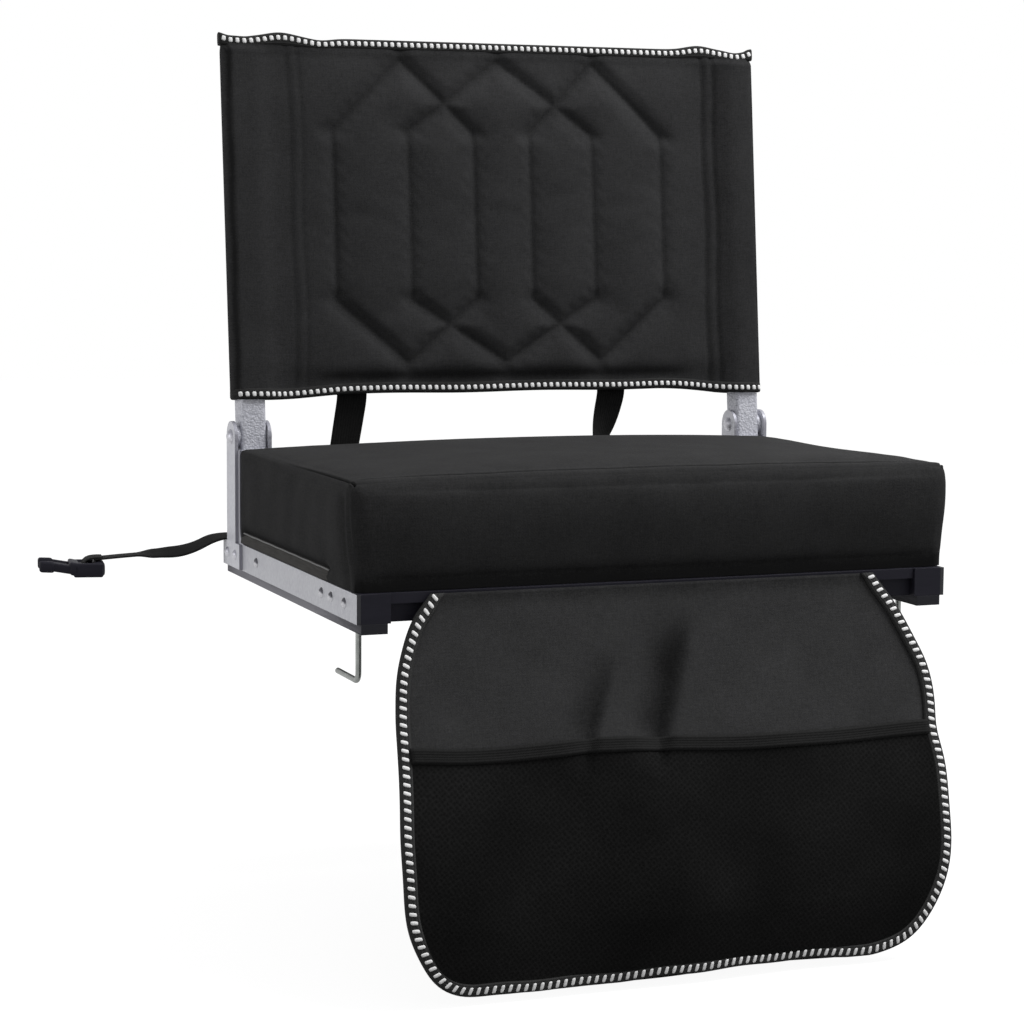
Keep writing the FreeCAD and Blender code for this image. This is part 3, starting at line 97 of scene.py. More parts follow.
def face_out(thing):
    """Faces outward, doubles merged."""
    form = bmesh.new()
    form.from_mesh(thing.data)
    bmesh.ops.remove_doubles(form, verts=form.verts, dist=1e-6)
    bmesh.ops.recalc_face_normals(form, faces=form.faces)
    form.to_mesh(thing.data)
    form.free()
    return thing


def strip_faces(rows, columns, round_rows=False, round_columns=False, start=0):
    """Quads of a grid of points, joined end to end where asked."""
    faces = []
    for r in range(rows if round_rows else rows - 1):
        for c in range(columns if round_columns else columns - 1):
            a, b = start + r * columns, start + (r + 1) % rows * columns
            d = (c + 1) % columns
            faces.append((a + c, a + d, b + d, b + c))
    return faces


def lofted(name, rings, flat, finish):
    """Closed tube through rings of points, capped at both ends; flat holds the rings' places on the flat cloth."""
    rings = np.asarray(rings, float)
    rows, count = rings.shape[:2]
    faces = strip_faces(rows, count, round_columns=True)
    faces += [tuple(range(count))[::-1], tuple(range((rows - 1) * count, rows * count))]
    return face_out(piece(name, rings.reshape(-1, 3), faces, np.asarray(flat, float).reshape(-1, 2), finish))


def run_along(path):
    """Distance along a path at each of its points."""
    return np.concatenate([[0], np.cumsum(np.linalg.norm(np.diff(path, axis=0), axis=1))])


def unit(vectors):
    return vectors / np.linalg.norm(vectors, axis=-1)[..., None]


def evened(path, count, calm):
    """Evenly spaced points of a path with its corners calmed, and the distance along it of each."""
    run = run_along(path)
    t = np.linspace(0, run[-1], count)
    even = np.stack([np.interp(t, run, column) for column in np.transpose(path)], 1)
    for _ in range(calm):
        even[1:-1] = (even[:-2] + 2 * even[1:-1] + even[2:]) / 4
    return even, t


def places_of(thing):
    flat = np.zeros(len(thing.data.vertices) * 3, np.float32)
    thing.data.vertices.foreach_get("co", flat)
    return flat.reshape(-1, 3).astype(float) / MM


def put_places(thing, points):
    thing.data.vertices.foreach_set("co", (points * MM).astype(np.float32).ravel())
    thing.data.update()


def normals_of(thing):
    flat = np.zeros(len(thing.data.vertices) * 3, np.float32)
    thing.data.vertex_normals.foreach_get("vector", flat)
    return flat.reshape(-1, 3).astype(float)


def made_plain(thing):
    """The piece as its modifiers leave it, with none left on it."""
    ready = thing.evaluated_get(bpy.context.evaluated_depsgraph_get())
    mesh = bpy.data.meshes.new_from_object(ready)
    old, thing.data = thing.data, mesh
    thing.modifiers.clear()
    mesh.name = thing.name
    bpy.data.meshes.remove(old)
    return thing


def finer(thing):
    smooth = thing.modifiers.new("finer", "SUBSURF")
    smooth.levels = smooth.render_levels = 1
    return made_plain(thing)


def thicken(thing, thickness, offset=0.0):
    wall = thing.modifiers.new("wall", "SOLIDIFY")
    wall.thickness, wall.offset = thickness * MM, offset
    return thing


def keep_point(thing, name, values):
    """A named value on each point, which subdividing carries along."""
    layer = thing.data.attributes.new(name, "FLOAT_VECTOR", "POINT")
    layer.data.foreach_set("vector", np.asarray(values, np.float32).ravel())


def store_painted_shade(thing, share):
    """Keeps the painted shade of the cloth at each point, from 0 to 1: its seams and folds, as in the photo."""
    layer = thing.data.attributes.new("darker", "FLOAT", "POINT")
    layer.data.foreach_set("value", np.clip(share, 0, 1).astype(np.float32))


def kept_point(thing, name):
    flat = np.zeros(len(thing.data.vertices) * 3, np.float32)
    thing.data.attributes[name].data.foreach_get("vector", flat)
    return flat.reshape(-1, 3).astype(float)


def drop_point(thing, name):
    thing.data.attributes.remove(thing.data.attributes[name])


def hill(x, middle, width):
    return np.exp(-(((x - middle) / width) ** 2))


def ease(x, low, high):
    t = np.clip((x - low) / (high - low), 0, 1)
    return t * t * (3 - 2 * t)


def arc_through(a, b, c, count):
    """Points of the arc through three points of a plane."""
    (ax, ay), (bx, by), (cx, cy) = a, b, c
    d = 2 * (ax * (by - cy) + bx * (cy - ay) + cx * (ay - by))
    squares = [px * px + py * py for px, py in (a, b, c)]
    ox = (squares[0] * (by - cy) + squares[1] * (cy - ay) + squares[2] * (ay - by)) / d
    oy = (squares[0] * (cx - bx) + squares[1] * (ax - cx) + squares[2] * (bx - ax)) / d
    turns = np.unwrap([math.atan2(py - oy, px - ox) for px, py in (a, b, c)])
    t = np.linspace(turns[0], turns[2], count)
    radius = math.hypot(ax - ox, ay - oy)
    return np.stack([ox + radius * np.cos(t), oy + radius * np.sin(t)], 1)


def smooth_through(points, steps=12):
    """Smooth line through points of a plane."""
    given = np.asarray(points, float)
    given = np.vstack([2 * given[0] - given[1], given, 2 * given[-1] - given[-2]])
    t = np.linspace(0, 1, steps, endpoint=False)[:, None]
    runs = [(2 * b + (c - a) * t + (2 * a - 5 * b + 4 * c - d) * t ** 2 + (3 * b - a - 3 * c + d) * t ** 3) / 2
            for a, b, c, d in zip(given, given[1:], given[2:], given[3:])]
    return np.vstack(runs + [given[-2:-1]])


def line_distance(x, y, lines):
    """Distance of points of a plane from the nearest of several straight lines."""
    best = np.full(np.shape(x), 1e9)
    for (x0, y0), (x1, y1) in lines:
        dx, dy = x1 - x0, y1 - y0
        t = np.clip(((x - x0) * dx + (y - y0) * dy) / (dx * dx + dy * dy), 0, 1)
        best = np.minimum(best, np.hypot(x - x0 - t * dx, y - y0 - t * dy))
    return best


def spread(low, high, step, close=(), both=True):
    """Places along a side, about a step apart, with closer ones near its ends."""
    ends = [low + c for c in close] + ([high - c for c in close] if both else [])
    reach = max(close) if close else 0
    first, last = low + reach, high - (reach if both else 0)
    middle = np.linspace(first, last, max(2, round((last - first) / step) + 1))
    return np.unique(np.round(np.concatenate([ends, middle, [low, high]]), 4))


def puff(thing, held, pressure, slack, cap, calm, share=1.0):
    """Fills a padded cloth with air between its held points; no point goes further than cap."""
    start, out = places_of(thing), normals_of(thing)
    group = thing.vertex_groups.new(name="held")
    group.add([int(i) for i in np.flatnonzero(held)], 1.0, "REPLACE")
    cloth = thing.modifiers.new("air", "CLOTH")
    how = cloth.settings
    how.quality, how.mass = 6, 0.02
    how.tension_stiffness = how.compression_stiffness = 12
    how.shear_stiffness, how.bending_stiffness = 4, 1.5
    how.use_pressure, how.uniform_pressure_force = True, pressure
    how.vertex_group_mass, how.pin_stiffness = "held", 1
    how.shrink_min = -slack
    how.effector_weights.gravity = 0
    cloth.collision_settings.use_collision = False
    cloth.point_cache.frame_start, cloth.point_cache.frame_end = 1, 20
    for number in range(1, 21):
        scene.frame_set(number)
    ready = thing.evaluated_get(bpy.context.evaluated_depsgraph_get())
    end = np.array([v.co for v in ready.data.vertices], float) / MM
    thing.modifiers.remove(cloth)
    thing.vertex_groups.clear()
    scene.frame_set(1)
    grown = np.maximum(((end - start) * out).sum(1) * share, -0.3)
    ends = np.array([e.vertices for e in thing.data.edges])
    for _ in range(calm):
        near, count = np.zeros(len(start)), np.zeros(len(start))
        for a, b in ((0, 1), (1, 0)):
            np.add.at(near, ends[:, a], grown[ends[:, b]])
            np.add.at(count, ends[:, a], 1)
        grown = np.where(held, grown, (grown + near / count) / 2)
    grown = cap * np.tanh(grown / cap)
    put_places(thing, start + out * grown[:, None])


# ---------------------------------------------------------------- finishes
class Value:
    """A shader socket that adds Math nodes when it is used in a sum."""

    def __init__(self, finish, socket):
        self.finish, self.socket = finish, socket

    def _sum(self, operation, *others):
        settings = {"operation": operation}
        return self.finish.node("ShaderNodeMath", settings, dict(enumerate(others)))

    def __add__(self, other):
        return self._sum("ADD", self, other)

    def __sub__(self, other):
        return self._sum("SUBTRACT", self, other)

    def __rsub__(self, other):
        return self._sum("SUBTRACT", other, self)

    def __mul__(self, other):
        return self._sum("MULTIPLY", self, other)

    __radd__, __rmul__ = __add__, __mul__

    def wave(self):
        return self._sum("SINE", self)

    def size(self):
        return self._sum("ABSOLUTE", self)

    def least(self, other):
        return self._sum("MINIMUM", self, other)

    def most(self, other):
        return self._sum("MAXIMUM", self, other)


class Finish:
    """One procedural material."""

    def __init__(self, name, **constants):
        self.material = bpy.data.materials.new(name)
        self.material.use_nodes = True
        self.tree = self.material.node_tree
        self.tree.nodes.clear()
        self.surface = self.tree.nodes.new("ShaderNodeBsdfPrincipled")
        out = self.tree.nodes.new("ShaderNodeOutputMaterial")
        self.tree.links.new(self.surface.outputs[0], out.inputs[0])
        for socket, given in constants.items():
            self.set(socket.replace("_", " "), given)

    def set(self, socket, given):
        self._plug(self.surface.inputs[socket], given)

    def _plug(self, socket, given):
        if isinstance(given, Value):
            self.tree.links.new(given.socket, socket)
        else:
            socket.default_value = given

    def node(self, kind, settings=None, sockets=None, out=0):
        made = self.tree.nodes.new(kind)
        for key, given in (settings or {}).items():
            setattr(made, key, given)
        for key, given in (sockets or {}).items():
            self._plug(made.inputs[key], given)
        return Value(self, made.outputs[out])

    def cloth(self):
        """Place on the flat cloth, in metres: across, along and as a vector."""
        place = self.node("ShaderNodeUVMap", {"uv_map": "cloth"})
        return self.part(place, 0), self.part(place, 1), place

    def part(self, vector, which):
        """One number of a vector: 0 for x, 1 for y, 2 for z."""
        return self.node("ShaderNodeSeparateXYZ", None, {"Vector": vector}, which)

    def body(self):
        return self.node("ShaderNodeTexCoord", out="Object")

    def facing(self):
        return self.node("ShaderNodeTexCoord", out="Normal")

    def stretched(self, vector, x, y, z=1.0):
        settings = {"operation": "MULTIPLY"}
        return self.node("ShaderNodeVectorMath", settings, {0: vector, 1: (x, y, z)})

    def noise(self, vector, scale, detail=2.0, rough=0.5):
        sockets = {"Vector": vector, "Scale": scale, "Detail": detail, "Roughness": rough}
        return self.node("ShaderNodeTexNoise", None, sockets)

    def between(self, share, a, b):
        """Colour between two colours."""
        settings = {"data_type": "RGBA", "clamp_factor": True}
        return self.node("ShaderNodeMix", settings, {0: share, 6: (*a, 1), 7: (*b, 1)}, 2)

    def bump(self, height, strength, distance, edge=None):
        sockets = {"Height": height, "Strength": strength, "Distance": distance}
        if edge:
            sockets["Normal"] = self.node("ShaderNodeBevel", {"samples": 4}, {"Radius": edge})
        self.set("Normal", self.node("ShaderNodeBump", None, sockets))


def grey(value, tint=0.0):
    return (value, value, value * (1 + tint))


def shades(value, spread, tint=0.0):
    """Darker and paler colour either side of a grey."""
    return grey(value * (1 - spread), tint), grey(value * (1 + spread), tint)


def woven(name, value, pitch=0.9, tint=0.02):
    """Black polyester: fine plain weave, a few uneven threads, a little dust, and painted shade in seams and folds."""
    f = Finish(name, Specular_IOR_Level=0.03)
    across, along, place = f.cloth()
    step = 2 * math.pi / (pitch * MM)
    threads = (across * step).wave() * (along * step).wave()
    warp = f.noise(f.stretched(place, 900, 110), 1.0, 2)
    weft = f.noise(f.stretched(place, 110, 900), 1.0, 2)
    dust = f.noise(place, 26, 4, 0.6)
    grain = f.noise(place, 950, 3, 0.6)
    nap = f.noise(place, 330, 2)
    # Painted shade, kept on the piece's points: the cloth is made dark in its seams and folds.
    darker = f.node("ShaderNodeAttribute", {"attribute_name": "darker"}, None, 2)
    share = (warp + weft) * 0.35 + grain + nap * 0.35 + dust * 0.5 + threads * 0.06 - 0.775 - darker
    f.set("Base Color", f.between(share, *shades(value, 0.5, tint)))
    f.set("Roughness", 0.9 - dust * 0.1)
    f.bump(threads * 0.3 + warp * 0.5 + weft * 0.5 + grain * 0.9, 0.3, 0.0004)
    return f.material


def hammered_steel(name, dent, strength, pale, dark, edge_shade):
    """Grey hammer-finish paint on steel; the plates' edges get painted shade, deep grey, and black at their front
    ends.
    """
    f = Finish(name, Metallic=0.2, Specular_IOR_Level=0.4)
    place = f.body()
    bent = f.node("ShaderNodeVectorMath", {"operation": "MULTIPLY_ADD"},
                  {0: f.node("ShaderNodeTexNoise", None, {"Vector": place, "Scale": 260.0}, 1),
                   1: (0.0012, 0.0012, 0.0012), 2: place})
    dents = f.node("ShaderNodeTexVoronoi", {"feature": "SMOOTH_F1"},
                   {"Vector": bent, "Scale": dent, "Smoothness": 0.6})
    cloud = f.noise(place, 45, 3)
    speck = f.noise(place, 800, 2)
    share = dents * (0.9 * strength) + cloud * 0.7 + speck * (0.5 * strength) - (0.35 + 0.35 * strength)
    paint = f.between(share, pale, dark)
    if edge_shade:
        # Painted shade: faces that turn away from the side take the edge colour, and are black at the front ends.
        rim = f.between((f.part(place, 1) + 0.156) * 300, grey(0.012, 0.3), edge_shade)
        paint = f.node("ShaderNodeMix", {"data_type": "RGBA", "clamp_factor": True},
                       {0: (0.8 - f.part(f.facing(), 0).size()) * 4, 6: paint, 7: rim}, 2)
    f.set("Base Color", paint)
    f.set("Roughness", 0.38 + dents * 0.2)
    f.bump(1 - dents, 0.25 + 0.35 * strength, 0.0006, 0.0007)
    return f.material


def domed_heads(name, pale, dark, shaded):
    """Screw and rivet heads: pale crowns with a painted reflection of the dark cloth, dark where they face up or to
    the front.
    """
    f = Finish(name, Metallic=0.5, Specular_IOR_Level=0.4)
    place = f.body()
    ahead, above = f.part(f.facing(), 1), f.part(f.facing(), 2)
    haze = f.noise(place, 400, 3)
    # Painted reflection: the dome is made dark where it faces up and forward, towards the cloth, and pale elsewhere.
    shade = (above * 0.9 - ahead * 0.5 - 0.16 + (haze - 0.5) * 0.3) * shaded
    f.set("Base Color", f.between(shade, pale, dark))
    f.set("Roughness", 0.3 + haze * 0.2)
    f.bump(haze, 0.15, 0.0002, 0.0004)
    return f.material


def black_plastic():
    f = Finish("black_plastic", Specular_IOR_Level=0.1)
    place = f.body()
    scuff = f.noise(f.stretched(place, 40, 40, 260), 1.0, 4, 0.6)
    f.set("Base Color", f.between(scuff, (0.009, 0.009, 0.014), (0.021, 0.020, 0.028)))
    f.set("Roughness", 0.45 + scuff * 0.2)
    f.bump(f.noise(place, 900, 2), 0.12, 0.0003, 0.0006)
    return f.material


def runner_rubber():
    """Black rubber strip; its side has painted light, pale in streaks and fading to black towards the front, with its
    ends and underneath black.
    """
    f = Finish("runner_rubber", Specular_IOR_Level=0.2)
    place = f.body()
    worn = f.noise(f.stretched(place, 30, 18, 220), 1.0, 5, 0.65)
    # Painted light: the faces turned to the sides are made pale, most towards the rear.
    towards_rear = (f.part(place, 1) * 9 + 1.55 + (worn - 0.5) * 1.2).most(0).least(1)
    painted_side_light = f.part(f.facing(), 0).size() * (worn * 0.6 + 0.5) * towards_rear
    f.set("Base Color", f.between(painted_side_light, (0.012, 0.012, 0.016), (0.30, 0.295, 0.325)))
    f.set("Roughness", 0.62 + worn * 0.2)
    f.bump(f.noise(place, 500, 3), 0.25, 0.0004, 0.0006)
    return f.material


def board_black():
    """Cloth drawn over the board's edge."""
    f = Finish("board_wood", Specular_IOR_Level=0.08)
    place = f.body()
    thread = f.noise(f.stretched(place, 700, 60, 900), 1.0, 3)
    dust = f.noise(place, 40, 4)
    f.set("Base Color", f.between(thread * 1.2 + dust * 0.6 - 0.4, (0.030, 0.029, 0.028), (0.075, 0.073, 0.070)))
    f.set("Roughness", 0.8 + dust * 0.1)
    f.bump(thread, 0.25, 0.0003, 0.001)
    return f.material


def plain_steel():
    f = Finish("plain_steel", Metallic=0.85)
    place = f.body()
    haze = f.noise(place, 180, 4, 0.6)
    f.set("Base Color", f.between(haze, (0.13, 0.14, 0.13), (0.36, 0.37, 0.36)))
    f.set("Roughness", 0.3 + haze * 0.22)
    f.bump(f.noise(place, 1200, 2), 0.15, 0.0002, 0.0003)
    return f.material


def ribbed_webbing(name, value, pitch=2.0, ribs_show=0.2):
    """Narrow woven strap: ribs along it, slanted picks across."""
    f = Finish(name, Specular_IOR_Level=0.08)
    across, along, place = f.cloth()
    ribs = (across * (2 * math.pi / (pitch * MM))).wave()
    picks = ((along + ribs * 0.0003) * (2 * math.pi / (1.1 * MM))).wave()
    fuzz = f.noise(place, 500, 2)
    share = ribs * ribs_show + picks * 0.15 + fuzz * 1.1 - 0.05
    f.set("Base Color", f.between(share, *shades(value, 0.5)))
    f.set("Roughness", 0.75 + fuzz * 0.15)
    f.bump(ribs * 0.6 + picks * 0.4 + fuzz * 0.5, 0.4, 0.0004)
    return f.material


def open_mesh():
    """Pocket net: small holes on a slanted grid, paler in broad patches where the holes also show more."""
    f = Finish("pocket_mesh", Specular_IOR_Level=0.05)
    place = f.cloth()[2]
    slanted = f.node("ShaderNodeMapping", None, {"Vector": place, "Rotation": (0, 0, 0.6)})
    cells = f.node("ShaderNodeTexVoronoi", {"voronoi_dimensions": "2D"},
                   {"Vector": slanted, "Scale": 350.0, "Randomness": 0.35})
    dust = f.noise(place, 14, 3)
    lint = f.noise(place, 700, 3, 0.6)
    holes = cells - 0.4
    share = holes * (dust * 1.6 - 0.2) + (dust - 0.5) * 1.2 + (lint - 0.5) + 0.45
    f.set("Base Color", f.between(share, grey(0.0015), grey(0.0145)))
    f.set("Roughness", 0.85 + dust * 0.1)
    f.bump(holes + lint * 0.4, 0.3, 0.0005)
    return f.material


def pale_thread(name, dark, pale):
    f = Finish(name, Specular_IOR_Level=0.3)
    place = f.body()
    strands = f.noise(place, 1500, 2)
    f.set("Base Color", f.between(strands, grey(dark), grey(pale)))
    f.set("Roughness", 0.55 + strands * 0.2)
    f.bump(strands, 0.3, 0.0002)
    return f.material


SEAT_CLOTH = woven("seat_fabric", 0.026)
BACK_CLOTH = woven("back_fabric", 0.029, tint=0.03)
FLAP_CLOTH = woven("flap_fabric", 0.038, pitch=0.8)
TAPE = ribbed_webbing("binding_tape", 0.022, pitch=1.2)
FLAP_TAPE = ribbed_webbing("flap_tape", 0.034, pitch=1.2)
HEM_BAND = ribbed_webbing("hem_band", 0.012, pitch=1.6, ribs_show=0.02)
WEBBING = ribbed_webbing("webbing", 0.012)
NET = open_mesh()
THREAD = pale_thread("pale_thread", 0.78, 0.96)
BACK_THREAD = pale_thread("back_thread", 0.62, 0.88)
# Painted highlight: the seat hem's bead is made pale, as where its fold catches the light.
HEM_HIGHLIGHT = pale_thread("hem_thread", 0.10, 0.22)
# hinge_steel is plate_steel's paint made paler, its edges too: painted light on the hinge plates.
HINGE_STEEL = hammered_steel("hinge_steel", 360.0, 0.45, (0.60, 0.605, 0.65), (0.50, 0.50, 0.55),
                             (0.28, 0.28, 0.32))
PLATE_STEEL = hammered_steel("plate_steel", 360.0, 0.45, (0.50, 0.505, 0.54), (0.42, 0.415, 0.46),
                             (0.20, 0.20, 0.235))
TUBE_STEEL = hammered_steel("tube_steel", 620.0, 1.1, (0.54, 0.545, 0.595), (0.30, 0.305, 0.35), None)
RAIL_HEADS = domed_heads("rail_heads", (0.55, 0.55, 0.58), (0.05, 0.05, 0.06), 3.0)
HINGE_HEADS = domed_heads("hinge_heads", (0.60, 0.60, 0.64), (0.30, 0.30, 0.34), 2.0)
PLASTIC = black_plastic()
RUBBER = runner_rubber()
BOARD = board_black()
ZINC = plain_steel()


# ---------------------------------------------------------------- closing strap and its buckle
CLOSING_ROUTE = [(-199, 151.5, 27.45), (-219.80, 154.42, 29.5), (-243.07, 157.69, 17.2),
                 (-266.34, 160.96, 15.6), (-289.61, 164.23, 14.6), (-312.88, 167.50, 12.6)]
AHEAD = np.array([-0.99027, 0.13917, 0.0])
ACROSS = np.array([0.13917, 0.99027, 0.0])


def route_points(name, route):
    """Points of the smooth line that a cord follows, in millimetres."""
    curve = bpy.data.curves.new(name, "CURVE")
    curve.dimensions, curve.resolution_u = "3D", 12
    spline = curve.splines.new("NURBS")
    spline.points.add(len(route) - 1)
    for point, place in zip(spline.points, route):
        point.co = (*(c * MM for c in place), 1)
    spline.order_u, spline.use_endpoint_u = 3, True
    holder = bpy.data.objects.new(name, curve)
    scene.collection.objects.link(holder)
    bpy.context.view_layer.update()
    ready = holder.evaluated_get(bpy.context.evaluated_depsgraph_get())
    mesh = bpy.data.meshes.new_from_object(ready)
    points = np.array([v.co for v in mesh.vertices], float) / MM
    bpy.data.objects.remove(holder)
    bpy.data.curves.remove(curve)
    bpy.data.meshes.remove(mesh)
    return points


def flat_strap(name, path, across, width, wall, finish):
    """Webbing of a width and wall along a path; across gives its width direction at each point."""
    path, across = np.asarray(path, float), np.asarray(across, float)
    along = unit(np.gradient(path, axis=0))
    across = unit(across - (across * along).sum(1)[:, None] * along)
    face = np.cross(across, along)
    w, t = width / 2, wall / 2
    rim = [(-w, 0), (-w + 0.3, t * 0.8), (-w + 1, t), (-w / 3, t), (w / 3, t), (w - 1, t), (w - 0.3, t * 0.8),
           (w, 0), (w - 0.3, -t * 0.8), (w - 1, -t), (w / 3, -t), (-w / 3, -t), (-w + 1, -t), (-w + 0.3, -t * 0.8)]
    rings = [[spot + side * a + up * b for a, b in rim] for spot, side, up in zip(path, across, face)]
    return lofted(name, rings, [[(a, far) for a, _ in rim] for far in run_along(path)], finish)


def turned(directions, axes, degrees):
    """Directions turned about their axes."""
    t = np.radians(np.asarray(degrees, float))[:, None]
    return directions * np.cos(t) + np.cross(axes, directions) * np.sin(t)


closing_path = route_points("closing_route", CLOSING_ROUTE)
closing_run = run_along(closing_path)
closing_twist = (4.5 * ease(closing_run, 0, 14) + 9 * ease(closing_run, 12, 36) + 3 * ease(closing_run, 36, 56)
                 - 5 * ease(closing_run, 58, 72) - 13 * ease(closing_run, 72, 86))
closing_side = turned(np.tile(ACROSS, (len(closing_path), 1)), np.tile(AHEAD, (len(closing_path), 1)),
                      -closing_twist)
closing_strap = flat_strap("closing_strap_web", closing_path, closing_side, 19, 1.5, WEBBING)
fold_reach = np.array([109, 112, 115, 118, 120.5, 122.5, 123.6])
fold_height = np.array([14.0, 14.1, 14.0, 13.6, 12.6, 10.8, 8.6])
STRAP_ROOT = np.array(CLOSING_ROUTE[0]) * [1, 1, 0]
fold_path = STRAP_ROOT + AHEAD * fold_reach[:, None] + np.array([0, 0, 1.0]) * fold_height[:, None]
closing_fold = flat_strap("closing_strap_fold", fold_path, np.tile(ACROSS, (len(fold_path), 1)), 18.4, 1.3, WEBBING)


def closing_buckle():
    """Buckle half with a bar for the strap, two springing prongs and a guide tongue."""
    form = bmesh.new()

    def bar(low, high, rounding, tilt=0.0, squeeze=1.0):
        made = bmesh.ops.create_cube(form, size=1)["verts"]
        for v in made:
            v.co = Vector([l + (c + 0.5) * (h - l) for l, c, h in zip(low, v.co, high)])
            if v.co.x > (low[0] + high[0]) / 2:
                middle = (low[1] + high[1]) / 2
                v.co.y = middle + (v.co.y - middle) * squeeze
                v.co.z += tilt
        edges = list({e for v in made for e in v.link_edges})
        bmesh.ops.bevel(form, geom=edges, offset=rounding, segments=3, profile=0.6, affect="EDGES")

    wide = 13.2
    for side in (-1, 1):
        low, high = sorted((side * wide, side * (wide - 4.4)))
        bar((1.5, low, 0.0), (23, high, 10.6), 1.7, 0.3)
    bar((0, -wide + 0.8, 0.2), (8.5, wide - 0.8, 11.3), 3.6)
    bar((11, -wide + 2, 2.2), (14.4, wide - 2, 8.6), 1.5)
    bar((18, -wide, 0.6), (26, wide, 10.4), 2.4, 1.6)
    for side in (-1, 1):
        low, high = sorted((side * (wide - 0.8), side * (wide - 5.2)))
        bar((23, low, 2.4), (42, high, 9.0), 1.4, 3.4)
        low, high = sorted((side * (wide + 0.2), side * (wide - 5.8)))
        bar((37, low, 4.0), (48, high, 12.6), 2.4, 0.6, 0.8)
    bar((24, -2.6, 3.4), (41, 2.6, 8.4), 1.2, 3.2, 0.8)
    bar((13, -wide + 4, 1.2), (20, wide - 4, 9.4), 1.2)
    mesh = bpy.data.meshes.new("closing_buckle_half")
    root = STRAP_ROOT + AHEAD * 107.4
    for v in form.verts:
        v.co = Vector((root + AHEAD * v.co.x + ACROSS * v.co.y + np.array([0, 0, v.co.z])) * MM)
    bmesh.ops.recalc_face_normals(form, faces=form.faces)
    form.to_mesh(mesh)
    form.free()
    mesh.shade_smooth()
    mesh.materials.append(PLASTIC)
    thing = bpy.data.objects.new("closing_buckle_half", mesh)
    scene.collection.objects.link(thing)
    return thing


buckle = closing_buckle()
for thing, node, slot in ((closing_strap, "closing_strap", "webbing"), (closing_fold, None, "webbing"),
                          (buckle, "closing_buckle", "black_plastic")):
    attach(thing, "base")
    if node:
        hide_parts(node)


# ---------------------------------------------------------------- dashes along a path
def dash_shape(name, long, tall, thick, slant):
    """One pale stitch: a plump slip with rounded corners, leaning along the path."""
    turn = np.radians(np.arange(12) * 30)
    oval = np.stack([np.sign(np.cos(turn)) * np.abs(np.cos(turn)) ** 0.5,
                     np.sign(np.sin(turn)) * np.abs(np.sin(turn)) ** 0.55], 1)
    points = []
    for share, height in ((0.9, -0.5), (1.0, -0.1), (0.86, 0.3), (0.5, 0.5)):
        for a, b in oval * share:
            points.append(((a * long + b * slant) / 2, b * tall / 2, height * thick))
    faces = strip_faces(4, 12, round_columns=True) + [tuple(range(12))[::-1], tuple(range(36, 48))]
    thing = face_out(piece(name, points, faces))
    scene.collection.objects.unlink(thing)
    return thing


def dash_tree():
    """Geometry nodes: repeats a shape along a path of points that each know which way they face."""
    tree = bpy.data.node_groups.new("dashes_along_edge", "GeometryNodeTree")
    face = tree.interface
    face.new_socket("Geometry", in_out="INPUT", socket_type="NodeSocketGeometry")
    keys = {}
    for name, kind in (("Dash", "NodeSocketObject"), ("Spacing", "NodeSocketFloat"), ("Finish", "NodeSocketMaterial")):
        keys[name] = face.new_socket(name, in_out="INPUT", socket_type=kind).identifier
    face.new_socket("Geometry", in_out="OUTPUT", socket_type="NodeSocketGeometry")

    def add(kind, **settings):
        node = tree.nodes.new(kind)
        for key, given in settings.items():
            setattr(node, key, given)
        return node

    def join(a, out, b, into):
        tree.links.new(a.outputs[out], b.inputs[into])

    given, result = add("NodeGroupInput"), add("NodeGroupOutput")
    curve, steps = add("GeometryNodeMeshToCurve"), add("GeometryNodeResampleCurve", mode="LENGTH")
    facing = add("GeometryNodeInputNamedAttribute", data_type="FLOAT_VECTOR")
    facing.inputs["Name"].default_value = "facing"
    flat = add("FunctionNodeAlignRotationToVector", axis="Z")
    along = add("FunctionNodeAlignRotationToVector", axis="X", pivot_axis="Z")
    shape, repeat = add("GeometryNodeObjectInfo"), add("GeometryNodeInstanceOnPoints")
    real, paint = add("GeometryNodeRealizeInstances"), add("GeometryNodeSetMaterial")
    join(given, "Geometry", curve, "Mesh")
    join(curve, "Curve", steps, "Curve")
    join(given, "Spacing", steps, "Length")
    join(facing, "Attribute", flat, "Vector")
    join(flat, "Rotation", along, "Rotation")
    join(add("GeometryNodeInputTangent"), "Tangent", along, "Vector")
    join(given, "Dash", shape, "Object")
    join(steps, "Curve", repeat, "Points")
    join(shape, "Geometry", repeat, "Instance")
    join(along, "Rotation", repeat, "Rotation")
    join(repeat, "Instances", real, "Geometry")
    join(real, "Geometry", paint, "Geometry")
    join(given, "Finish", paint, "Material")
    join(paint, "Geometry", result, "Geometry")
    return tree, keys


DASHES, DASH_KEYS = dash_tree()


def dashes(name, path, facing, shape, spacing, finish):
    """Plain mesh of dashes along a path."""
    mesh = bpy.data.meshes.new(name)
    mesh.from_pydata((np.asarray(path, float) * MM).tolist(), [(i, i + 1) for i in range(len(path) - 1)], [])
    thing = bpy.data.objects.new(name, mesh)
    scene.collection.objects.link(thing)
    keep_point(thing, "facing", facing)
    row = thing.modifiers.new("dashes", "NODES")
    row.node_group = DASHES
    row[DASH_KEYS["Dash"]], row[DASH_KEYS["Spacing"]], row[DASH_KEYS["Finish"]] = shape, spacing * MM, finish
    made_plain(thing)
    if "facing" in thing.data.attributes:
        drop_point(thing, "facing")
    thing.data.shade_smooth()
    return thing


# ---------------------------------------------------------------- seat cushion
SEAT_FRONT, SEAT_REAR, SEAT_LOW, SEAT_EDGE = -158.0, 117.3, 26.7, 95.6
HEM_FRONT, HEM_LOW, FRONT_ROUND, REAR_ROUND = -100.0, 35.0, 8.5, 4.0
SEAT_HALF, SIDE_SEAM, BACK_LANDS = 215.5, 213.0, 96.0


